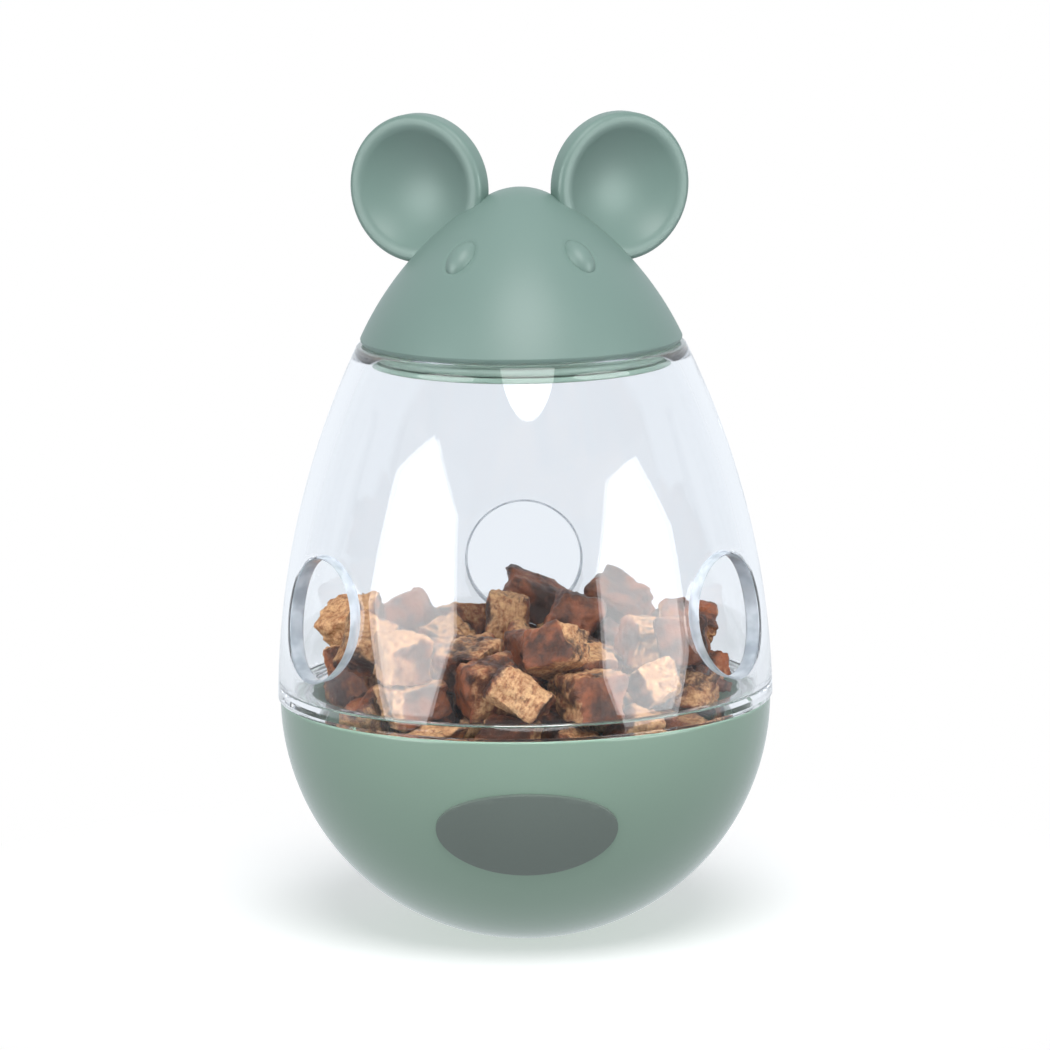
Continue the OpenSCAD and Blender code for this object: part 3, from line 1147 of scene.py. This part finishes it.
        def outside_of(edge: bmesh.types.BMEdge, outer: bool) -> bool:
            """Tells whether an open edge round the outlet lies on one face, away from the hole."""
            middle = (edge.verts[0].co + edge.verts[1].co) / 2
            away = self.off_axis(middle, way) > hole + self.outlet_land / 2
            return edge.is_boundary and away and self.is_outer(middle) == outer

        def on_rim(edge: bmesh.types.BMEdge) -> bool:
            """Tells whether an edge runs round the hole on one face."""
            ends = [vertex.co for vertex in edge.verts]
            round_hole = all(abs(self.off_axis(end, way) - hole) < self.near for end in ends)
            return round_hole and self.is_outer(ends[0]) == self.is_outer(ends[1])

        rings = [self.outlet_ring(dome, way, outside) for outside in (True, False)]
        with Bench.editing(dome, Pick.FACES):
            Bench.pick(dome, Pick.FACES, lambda face: self.off_axis(face.calc_center_median(), way) < patch)
            bpy.ops.mesh.delete(type="FACE")
        Bench.joined(dome, *rings)
        with Bench.editing(dome, Pick.EDGES):
            for outer in (True, False):
                Bench.pick(dome, Pick.EDGES, lambda edge: outside_of(edge, outer))
                bpy.ops.mesh.bridge_edge_loops()
            Bench.pick(dome, Pick.EDGES, lambda edge: edge.is_boundary)
            bpy.ops.mesh.bridge_edge_loops()
            Bench.outward()
            Bench.pick(dome, Pick.EDGES, on_rim)
            bpy.ops.mesh.bevel(offset=self.outlet_round, segments=3, affect="EDGES")

    def outlet_ring(self, dome: Piece, way: Vector, outside: bool) -> Piece:
        """Lays a flat ring round an outlet on one face of the dome.

        Args:
            dome: The dome, still closed there.
            way: Direction of the outlet.
            outside: Whether the ring lies on the outer face.

        Returns:
            The ring.
        """
        start = self.outlet_centre() + way * (self.sizes.dome_r * self.ring_start[outside])
        Bench.clear()
        bpy.ops.mesh.primitive_circle_add(vertices=self.outlet_steps, radius=self.outlet_d / 2)
        ring = Bench.named("outlet_ring")
        grow = 1 + self.outlet_land / (self.outlet_d / 2)
        with Bench.editing(ring, Pick.EDGES):
            bpy.ops.mesh.extrude_region_move()
            bpy.ops.transform.resize(value=(grow, grow, grow))
        ring.matrix_world = Matrix.Translation(start) @ way.to_track_quat("Z", "Y").to_matrix().to_4x4()
        bpy.context.view_layer.update()
        Bench.apply(ring, "SHRINKWRAP", wrap_method="PROJECT", target=dome, use_project_z=True,
                    use_negative_direction=outside, use_positive_direction=not outside)
        return Bench.place(ring, ring.matrix_world.copy())


@dataclass
class MouseHead:
    """The lift-off head: shell, ears, eyes, plug and neck seal."""

    sizes: Sizes
    wall: float = 2.2 * MM
    side_r: float = 50.3 * MM
    tip_r: float = 10.3 * MM
    ring_t: float = 3 * MM
    lower_round: float = 0.9 * MM
    lip_gap: float = 0.08 * MM
    plug_step: float = 2 * MM
    plug_round: float = 0.3 * MM
    plug_wall: float = 2 * MM
    press_gap: float = 0.05 * MM
    seal_d: float = 1.4 * MM
    seal_r: float = 23.4 * MM
    seal_gap: float = 0.1 * MM
    ear_r: float = 11.7 * MM
    ear_depth: float = 6.2 * MM
    ear_edge: float = 2.8 * MM
    ear_dish: float = 3.6 * MM
    ear_round: float = 0.9 * MM
    ear_flat: float = 0.3 * MM
    ear_soft: float = 2.4 * MM
    ear_x: float = 16.6 * MM
    ear_y: float = 3 * MM
    ear_rise: float = 9.8 * MM
    ear_yaw: float = 28
    eye_len: float = 7 * MM
    eye_w: float = 4.6 * MM
    eye_proud: float = 1.2 * MM
    eye_rise: float = 15.2 * MM
    eye_turn: float = 37.6
    eye_lean: float = 6
    eye_gap: float = 0.02 * MM
    hollow: tuple[float, float, float] = (6.2 * MM, 4.9 * MM, 1.2 * MM)
    hollow_depth: float = 0.42 * MM

    def __post_init__(self) -> None:
        """Works out the side arc, which passes through the lower edge and meets the round top smoothly."""
        s = self.sizes
        self.tip_z = s.top_z - self.tip_r
        reach = Vector((-s.head_r, self.tip_z - s.lip_z))
        inner = self.side_r - self.tip_r
        along = (self.side_r**2 - inner**2 + reach.length_squared) / (2 * reach.length)
        across = math.sqrt(self.side_r**2 - along**2)
        way = reach.normalized()
        centre = Vector((s.head_r, s.lip_z)) + along * way + across * Vector((-way.y, way.x))
        self.side_c = (centre.x, centre.y)
        self.meet = math.degrees(math.atan2(self.tip_z - centre.y, -centre.x))

    def build(self) -> None:
        """Models and dresses the head's pieces."""
        shell = self.shell()
        trim = Bench.turned("head_trim", [(0, self.sizes.lip_z)] + self.outer(48))
        for side in Side:
            ear = self.ear(side)
            Bench.cut(ear, trim, keep=True)
            seat(Bench.smooth(ear, 30), Body.HEAD, SATIN_GREEN, f"ear_{side.name.lower()}")
            Bench.cut(shell, self.eye_tool(side, self.hollow, self.hollow[2] - self.hollow_depth))
            Bench.cut(shell, self.eye(side, self.eye_gap))
            seat(Bench.smooth(self.eye(side, 0), 60), Body.HEAD, SATIN_GREEN, f"eye_{side.name.lower()}")
        bpy.data.objects.remove(trim)
        seat(Bench.smooth(shell, 30), Body.HEAD, SATIN_GREEN, "head_shell")
        # The plug's darker green is painted shade under the head.
        seat(self.plug(), Body.HEAD, COLLAR_SHADED_GREEN, "head_plug")
        seat(self.seal(), Body.NECK, SOFT_SEAL, "neck_seal")

    def outer(self, steps: int) -> list[Point]:
        """Gives the head's outer outline from its lower edge to its top.

        Args:
            steps: Number of straight steps along the side.

        Returns:
            The points.
        """
        s, edge = self.sizes, self.lower_round
        low = s.lip_z + self.lip_gap
        first = math.degrees(math.asin((low + edge - self.side_c[1]) / self.side_r))
        side = arc(self.side_c, self.side_r, first, self.meet, steps)
        corner = (side[0][0] - edge, low + edge)
        return (arc(corner, edge, -90, 0, 6)[:-1] + side
                + arc((0, self.tip_z), self.tip_r, self.meet, 90, 16)[1:])

    def shell(self) -> Piece:
        """Turns the hollow head.

        Returns:
            The shell.
        """
        s = self.sizes
        ring_top = s.lip_z + self.ring_t
        bore = s.collar_r - self.plug_step + self.press_gap
        inner_r = self.side_r - self.wall
        last = math.degrees(math.asin((ring_top - self.side_c[1]) / inner_r))
        outline = self.outer(56)
        outline += arc((0, self.tip_z), self.tip_r - self.wall, 90, self.meet, 10)
        outline += arc(self.side_c, inner_r, self.meet, last, 24)[1:]
        outline += [(bore, ring_top), (bore, s.lip_z + self.lip_gap), outline[0]]
        return Bench.turned("head_cover", outline)

    def plug(self) -> Piece:
        """Turns the plug with the groove for its seal.

        Returns:
            The plug.
        """
        s, edge = self.sizes, self.plug_round
        top = s.lip_z + self.ring_t
        stem = s.collar_r - self.plug_step
        groove_r = self.seal_r - self.seal_d / 2 - self.seal_gap
        middle = (s.collar_z + s.lip_z) / 2
        half = self.seal_d / 2 + self.seal_gap
        outline = [(0, s.collar_z)] + arc((s.collar_r - edge, s.collar_z + edge), edge, -90, 0, 4)
        outline += [(s.collar_r, middle - half), (groove_r, middle - half), (groove_r, middle + half),
                    (s.collar_r, middle + half), (s.collar_r, s.lip_z), (stem, s.lip_z), (stem, top),
                    (stem - self.plug_wall, top), (stem - self.plug_wall, s.collar_z + self.plug_wall),
                    (0, s.collar_z + self.plug_wall)]
        plug = Bench.turned("neck_plug", outline)
        return Bench.smooth(plug)

    def seal(self) -> Piece:
        """Turns the seal ring round the plug.

        Returns:
            The ring.
        """
        middle = (self.sizes.collar_z + self.sizes.lip_z) / 2
        outline = arc((self.seal_r, middle), self.seal_d / 2, 0, 345, 23)
        return Bench.smooth(Bench.turned("neck_seal_ring", outline, closed=True), 60)

    def ear(self, side: Side) -> Piece:
        """Turns a dished ear and brings it to its side of the head.

        Args:
            side: Which ear.

        Returns:
            The ear, not yet trimmed to the head.
        """
        rim_in = self.ear_r - self.ear_round - self.ear_flat
        slope = 2 * math.degrees(math.atan(self.ear_dish / rim_in))
        dish_r = rim_in / math.sin(math.radians(slope)) - self.ear_soft
        outline = arc((0, -self.ear_edge), self.ear_r, -90, 0, 20, self.ear_depth - self.ear_edge)
        outline += arc((self.ear_r - self.ear_round, -self.ear_round), self.ear_round, 0, 90, 8)
        outline += arc((rim_in, -self.ear_soft), self.ear_soft, 90, 90 + slope, 8)
        outline += arc((0, dish_r - self.ear_dish), dish_r, slope - 90, -90, 24)[1:]
        ear = Bench.turned(f"{side.name.lower()}_ear", outline, steps=SMALL_TURN_STEPS)
        turn = Euler((math.pi / 2, 0, math.radians(side.value * self.ear_yaw))).to_matrix().to_4x4()
        spot = (side.value * self.ear_x, self.ear_y, self.tip_z + self.ear_rise)
        return Bench.place(ear, Matrix.Translation(spot) @ turn)

    def eye(self, side: Side, grow: float) -> Piece:
        """Shapes an eye.

        Args:
            side: Which eye.
            grow: Distance that the eye is grown all round, for cutting its seat.

        Returns:
            The eye.
        """
        halves = (self.eye_len / 2 + grow, self.eye_w / 2 + grow, self.eye_w / 2 + grow)
        return self.eye_tool(side, halves, self.eye_proud - self.eye_w / 2)

    def eye_tool(self, side: Side, halves: tuple[float, float, float], rise: float) -> Piece:
        """Shapes a long round body from a ball and brings it to an eye's place on the head.

        Args:
            side: Which eye.
            halves: Half length, half width and half height.
            rise: Height of its middle above the head's face.

        Returns:
            The body.
        """
        height = self.sizes.lip_z + self.eye_rise
        angle = math.asin((height - self.side_c[1]) / self.side_r)
        out = self.side_c[0] + self.side_r * math.cos(angle)
        Bench.clear()
        bpy.ops.mesh.primitive_uv_sphere_add(segments=48, ring_count=32, radius=1)
        eye = Bench.named(f"{side.name.lower()}_eye")
        with Bench.editing(eye):
            bpy.ops.transform.resize(value=halves)
            bpy.ops.transform.translate(value=(0, 0, rise))
        where = (Matrix.Rotation(math.radians(side.value * self.eye_turn - 90), 4, "Z")
                 @ Matrix.Translation((out, 0, height))
                 @ Matrix.Rotation(math.pi / 2 - angle, 4, "Y")
                 @ Matrix.Rotation(math.radians(side.value * self.eye_lean), 4, "Z"))
        return Bench.place(eye, where)


@dataclass(frozen=True)
class Footprint:
    """Under and upper side of a turned cube, as heights over square cells."""

    turn: Matrix
    corner: np.ndarray
    under: np.ndarray
    upper: np.ndarray

    @classmethod
    def of(cls, mesh: bpy.types.Mesh, turn: Matrix, cell: float) -> "Footprint":
        """Measures a turned mesh.

        Args:
            mesh: The mesh.
            turn: Its turn.
            cell: Width of a cell.

        Returns:
            The footprint.
        """
        places = np.empty(3 * len(mesh.vertices), np.float32)
        mesh.vertices.foreach_get("co", places)
        points = sum(places[axis::3, None] * np.array(turn.col[axis]) for axis in range(3))
        cells = np.floor(points[:, :2] / cell).astype(int)
        corner = cells.min(axis=0)
        under = np.full(cells.max(axis=0) - corner + 1, np.inf)
        upper = -under
        np.minimum.at(under, tuple((cells - corner).T), points[:, 2])
        np.maximum.at(upper, tuple((cells - corner).T), points[:, 2])
        return cls(turn, corner, under, upper)

    def rests(self, pile: np.ndarray, step: int) -> np.ndarray:
        """Finds how low the cube can come at each spot of a pile.

        Args:
            pile: Heights of the pile over the same cells.
            step: Cells from one spot to the next.

        Returns:
            Heights of the cube's middle.
        """
        windows = np.lib.stride_tricks.sliding_window_view(pile, self.under.shape)[::step, ::step]
        return (windows - self.under).max(axis=(2, 3))


@dataclass
class TreatFill:
    """A handful of cut cubes of dried meat, laid one by one into the toy."""

    sizes: Sizes
    count: int = 64
    shapes: int = 8
    side: float = 8.0 * MM
    size_range: tuple[float, float] = (0.74, 1.26)
    tone_range: tuple[float, float] = (-0.24, 0.34)
    side_tone: float = 0.5
    corner_shift: float = 0.24
    cuts: int = 7
    pattern_step: float = 3.7
    seed: int = 7
    wall_r: float = 33.4 * MM
    step_z: float = 8.8 * MM
    upper_r: float = 35.6 * MM
    cell: float = 0.55 * MM
    step: int = 2
    trials: int = 2
    tilt: float = 0.6
    out_of_reach: float = 1.0
    crumble: tuple[tuple[float, float, str], ...] = (
        (0.5, 0.24, "SOFT_NOISE"), (0.22, 0.09, "HARD_NOISE"), (0.08, 0.05, "SOFT_NOISE"))

    def build(self) -> None:
        """Models the cubes, lays them into the toy and joins them into one piece."""
        self.draw = random.Random(self.seed)
        self.pile = self.inside()
        shapes = [self.cube(index) for index in range(self.shapes)]
        cubes = [self.sized_copy(shapes[index % self.shapes], index) for index in range(self.count)]
        for shape in shapes:
            bpy.data.objects.remove(shape)
        for cube in cubes:
            self.lay(cube)
        fill = Bench.joined(*cubes)
        fill.name = fill.data.name = "treat_fill"
        seat(fill, Body.BASE, MEAT)

    def inside(self) -> np.ndarray:
        """Gives the heights of the toy's floor and of the step at its wall, over square cells.

        Returns:
            The heights, far too high where there is no room.
        """
        s = self.sizes
        self.half = math.ceil(self.upper_r / self.cell)
        middles = np.abs(np.arange(-self.half, self.half) + 0.5) * self.cell
        reach = np.hypot(*np.meshgrid(middles + self.cell / 2, middles + self.cell / 2))
        floor = s.crown_z + (s.floor_z - s.crown_z) * reach / self.wall_r
        above = np.where(reach < self.upper_r, s.rim_z + self.step_z, self.out_of_reach)
        return np.where(reach < self.wall_r, floor, above)

    def cube(self, index: int) -> Piece:
        """Models one rough cube: uneven corners, rounded edges and crumbled faces.

        Args:
            index: Number of the shape.

        Returns:
            The cube, one unit wide.
        """
        Bench.clear()
        bpy.ops.mesh.primitive_cube_add(size=1)
        cube = Bench.named(f"cube_{index}")
        with Bench.editing(cube):
            bpy.ops.transform.vertex_random(offset=self.corner_shift, seed=index)
            bpy.ops.mesh.subdivide(number_cuts=self.cuts)
            bpy.ops.mesh.vertices_smooth(factor=0.5, repeat=2)
        Bench.apply(cube, "SUBSURF", levels=1, render_levels=1)
        shift = Matrix.Translation((index * self.pattern_step, 0, 0))
        for size, depth, kind in self.crumble:
            pattern = bpy.data.textures.new(f"crumble_{index}_{size}", "CLOUDS")
            pattern.noise_type = kind
            pattern.noise_scale = size
            pattern.noise_depth = 2
            Bench.place(cube, shift)
            Bench.apply(cube, "DISPLACE", texture=pattern, strength=depth, mid_level=0.5,
                        texture_coords="LOCAL")
            Bench.place(cube, shift.inverted())
        return Bench.smooth(cube, 60)

    def sized_copy(self, shape: Piece, index: int) -> Piece:
        """Copies a cube at its own size and notes its grain and tone on the mesh.

        Args:
            shape: The cube to copy.
            index: Number of the copy.

        Returns:
            The copy.
        """
        draw = self.draw
        copy = Bench.copied(shape, f"treat_{index}")
        scale = [self.side * draw.uniform(*self.size_range) for _ in range(3)]
        Bench.place(copy, Matrix.Diagonal((*scale, 1)))
        mesh = copy.data
        shift = Vector([draw.uniform(-1, 1) for _ in range(3)])
        base_tone = draw.uniform(*self.tone_range)
        mesh.attributes.new(DriedMeat.GRAIN, "FLOAT_VECTOR", "POINT")
        mesh.attributes.new(DriedMeat.TONE, "FLOAT", "POINT")
        grain, tone = mesh.attributes[DriedMeat.GRAIN].data, mesh.attributes[DriedMeat.TONE].data
        for number, point in enumerate(mesh.vertices):
            grain[number].vector = point.co + shift
            tone[number].value = base_tone + self.side_tone * (1 - abs(point.normal.z))
        return copy

    def lay(self, cube: Piece) -> None:
        """Tries a few turns of a cube, and lets it down where its top comes to lie lowest.

        Args:
            cube: The cube, at the origin.
        """
        prints = [Footprint.of(cube.data, self.any_turn(), self.cell) for _ in range(self.trials)]
        rests = [trial.rests(self.pile, self.step) for trial in prints]
        tops = [rest.min() + trial.upper.max() for trial, rest in zip(prints, rests)]
        best = tops.index(min(tops))
        chosen, rest = prints[best], rests[best]
        spot = np.array(np.unravel_index(rest.argmin(), rest.shape)) * self.step
        end = spot + chosen.upper.shape
        under = self.pile[spot[0]:end[0], spot[1]:end[1]]
        np.maximum(under, chosen.upper + rest.min(), out=under)
        across = (spot - self.half - chosen.corner) * self.cell
        Bench.place(cube, Matrix.Translation((*across, rest.min())) @ chosen.turn.to_4x4())

    def any_turn(self) -> Matrix:
        """Draws a turn: one side down, tilted a little."""
        draw = self.draw
        turns = [draw.uniform(-self.tilt, self.tilt) + math.pi / 2 * draw.randrange(4) for _ in range(3)]
        return Euler(turns).to_matrix()


@dataclass(frozen=True)
class SoftBox:
    """Where a soft box hangs, and the corners and the turn of its face."""

    name: str
    azimuth: float
    elevation: float
    corners: int
    turn: float


@dataclass
class Studio:
    """White table, soft boxes and the camera at the photograph's place."""

    sizes: Sizes
    table_r: float = 0.297
    table_drop: float = 0.05 * MM
    fill: float = 0.35
    backdrop: Colour = (0.9, 0.945, 1.0, 1.0)
    dark_side: float = 0.15
    wall_light: float = 0.25
    bright_side: float = 0.99
    box_size: tuple[float, float] = (0.7, 0.58)
    box_distance: float = 0.8
    boxes: tuple[SoftBox, ...] = (SoftBox("left", 56, 9, 7, 0), SoftBox("right", -59, 6, 8, 22.5))
    box_light: float = 0.45
    key_size: float = 0.6
    key_light: float = 4.8
    key_way: tuple[float, float] = (-5, 55)
    key_distance: float = 0.9
    back_spread: tuple[float, float] = (-0.4, 0.98)
    bounces: int = 32
    aim: Vector = Vector((0.24 * MM, 0, 64.8 * MM))
    eye: Vector = Vector((0, -1050.1 * MM, 245.7 * MM))
    lens: float = 232.0
    sensor: float = 36.0
    clip: tuple[float, float] = (0.05, 20.0)
    roll: float = -0.0115

    def build(self) -> None:
        """Sets up the table, the world, the lamps and the camera."""
        scene = bpy.context.scene
        scene.view_settings.view_transform = "Standard"
        scene.cycles.max_bounces = scene.cycles.transmission_bounces = self.bounces
        scene.cycles.transparent_max_bounces = scene.cycles.glossy_bounces = self.bounces
        self.table()
        self.world()
        for box in self.boxes:
            way = self.way(box.azimuth, box.elevation)
            self.panel(box, way)
            lamp = self.lamp(f"{box.name}_lamp", way, self.box_distance, self.box_size, self.box_light)
            lamp.visible_glossy = False
        self.lamp("key_lamp", self.way(*self.key_way), self.key_distance, (self.key_size, self.key_size),
                  self.key_light, "DISK")
        self.camera()

    @staticmethod
    def way(azimuth: float, elevation: float) -> Vector:
        """Gives a direction from the toy.

        Args:
            azimuth: Angle in degrees from the camera's side towards the viewer's left.
            elevation: Angle in degrees above the horizon.

        Returns:
            The direction, one unit long.
        """
        turn, rise = math.radians(azimuth), math.radians(elevation)
        return Vector((-math.sin(turn) * math.cos(rise), -math.cos(turn) * math.cos(rise), math.sin(rise)))

    def facing(self, way: Vector, distance: float) -> Matrix:
        """Gives the place of something that hangs in a direction and faces the toy."""
        middle = Vector((0, 0, self.sizes.lip_z / 2))
        return Matrix.Translation(middle + way * distance) @ way.to_track_quat("Z", "Y").to_matrix().to_4x4()

    def table(self) -> None:
        """Lays the round white table top with a rounded edge."""
        Bench.clear()
        bpy.ops.mesh.primitive_circle_add(vertices=128, radius=self.table_r, fill_type="NGON",
                                          location=(0, 0, -self.table_drop))
        table = Bench.named("table_top")
        with Bench.editing(table, Pick.FACES):
            bpy.ops.mesh.inset(thickness=self.table_r / 2)
        PAPER.coat(table)

    def world(self) -> None:
        """Lights all round with a low grey, and shows white to the camera and a pale backdrop in the dome."""
        world = bpy.data.worlds.new("studio")
        bpy.context.scene.world = world
        world.use_nodes = True
        nodes = Nodes(world.node_tree)
        way = nodes.add("ShaderNodeTexCoord", None, None, "Generated")
        back = nodes.ramped(nodes.add("ShaderNodeSeparateXYZ", None, {0: way}, "Y"), *self.back_spread)
        through = nodes.ray("Transmission")
        sharp = through.larger(nodes.ray("Glossy"))
        camera = nodes.ray("Camera")
        dark = self.dark_side + through * self.wall_light
        shown = dark + back * (self.bright_side - dark)
        strength = (self.fill + sharp * (shown - self.fill)).larger(camera)
        colour = nodes.blend(camera, self.backdrop, WHITE)
        surface = nodes.add("ShaderNodeBackground", None, {"Color": colour, "Strength": strength})
        nodes.add("ShaderNodeOutputWorld", None, {"Surface": surface})

    def panel(self, box: SoftBox, way: Vector) -> None:
        """Hangs the glowing face of a soft box, which shows in the toy's reflections.

        Args:
            box: The soft box.
            way: Direction from the toy.
        """
        Bench.clear()
        bpy.ops.mesh.primitive_circle_add(vertices=box.corners, radius=0.5, fill_type="NGON")
        panel = Bench.named(f"{box.name}_panel")
        Bench.place(panel, Matrix.Rotation(math.radians(box.turn), 4, "Z"))
        with Bench.editing(panel, Pick.FACES):
            bpy.ops.transform.resize(value=(*self.box_size, 1))
            bpy.ops.mesh.inset(thickness=self.box_size[1] / 10)
        Bench.place(panel, self.facing(way, self.box_distance))
        GLOW.coat(panel)
        panel.visible_diffuse = False
        panel.visible_camera = False

    def lamp(self, name: str, way: Vector, distance: float, size: tuple[float, float], brightness: float,
             shape: str = "RECTANGLE") -> Piece:
        """Hangs a lamp that faces the toy.

        Args:
            name: Name of the lamp.
            way: Direction from the toy.
            distance: Distance from the toy in metres.
            size: Width and height in metres.
            brightness: Brightness of its face, where 1 is white.
            shape: Shape of its face.

        Returns:
            The lamp.
        """
        data = bpy.data.lights.new(name, "AREA")
        data.shape = shape
        data.size, data.size_y = size
        data.energy = brightness * math.pi * size[0] * size[1]
        lamp = bpy.data.objects.new(name, data)
        bpy.context.scene.collection.objects.link(lamp)
        lamp.matrix_world = self.facing(way, distance)
        return lamp

    def camera(self) -> None:
        """Places the camera, rolled a little as in the photograph."""
        data = bpy.data.cameras.new("camera")
        data.lens = self.lens
        data.sensor_width = self.sensor
        data.clip_start, data.clip_end = self.clip
        camera = bpy.data.objects.new("camera", data)
        bpy.context.scene.collection.objects.link(camera)
        look = (self.aim - self.eye).to_track_quat("-Z", "Y").to_matrix().to_4x4()
        camera.matrix_world = Matrix.Translation(self.eye) @ look @ Matrix.Rotation(self.roll, 4, "Z")
        bpy.context.scene.camera = camera


def main() -> None:
    """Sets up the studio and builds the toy's pieces in order."""
    logging.basicConfig(level=logging.INFO, format="%(name)s: %(message)s")
    sizes = Sizes.read()
    Studio(sizes).build()
    WeightedBase(sizes).build()
    ClearDome(sizes).build()
    MouseHead(sizes).build()
    TreatFill(sizes).build()
    Bench.clear()


if __name__ == "__main__":
    main()
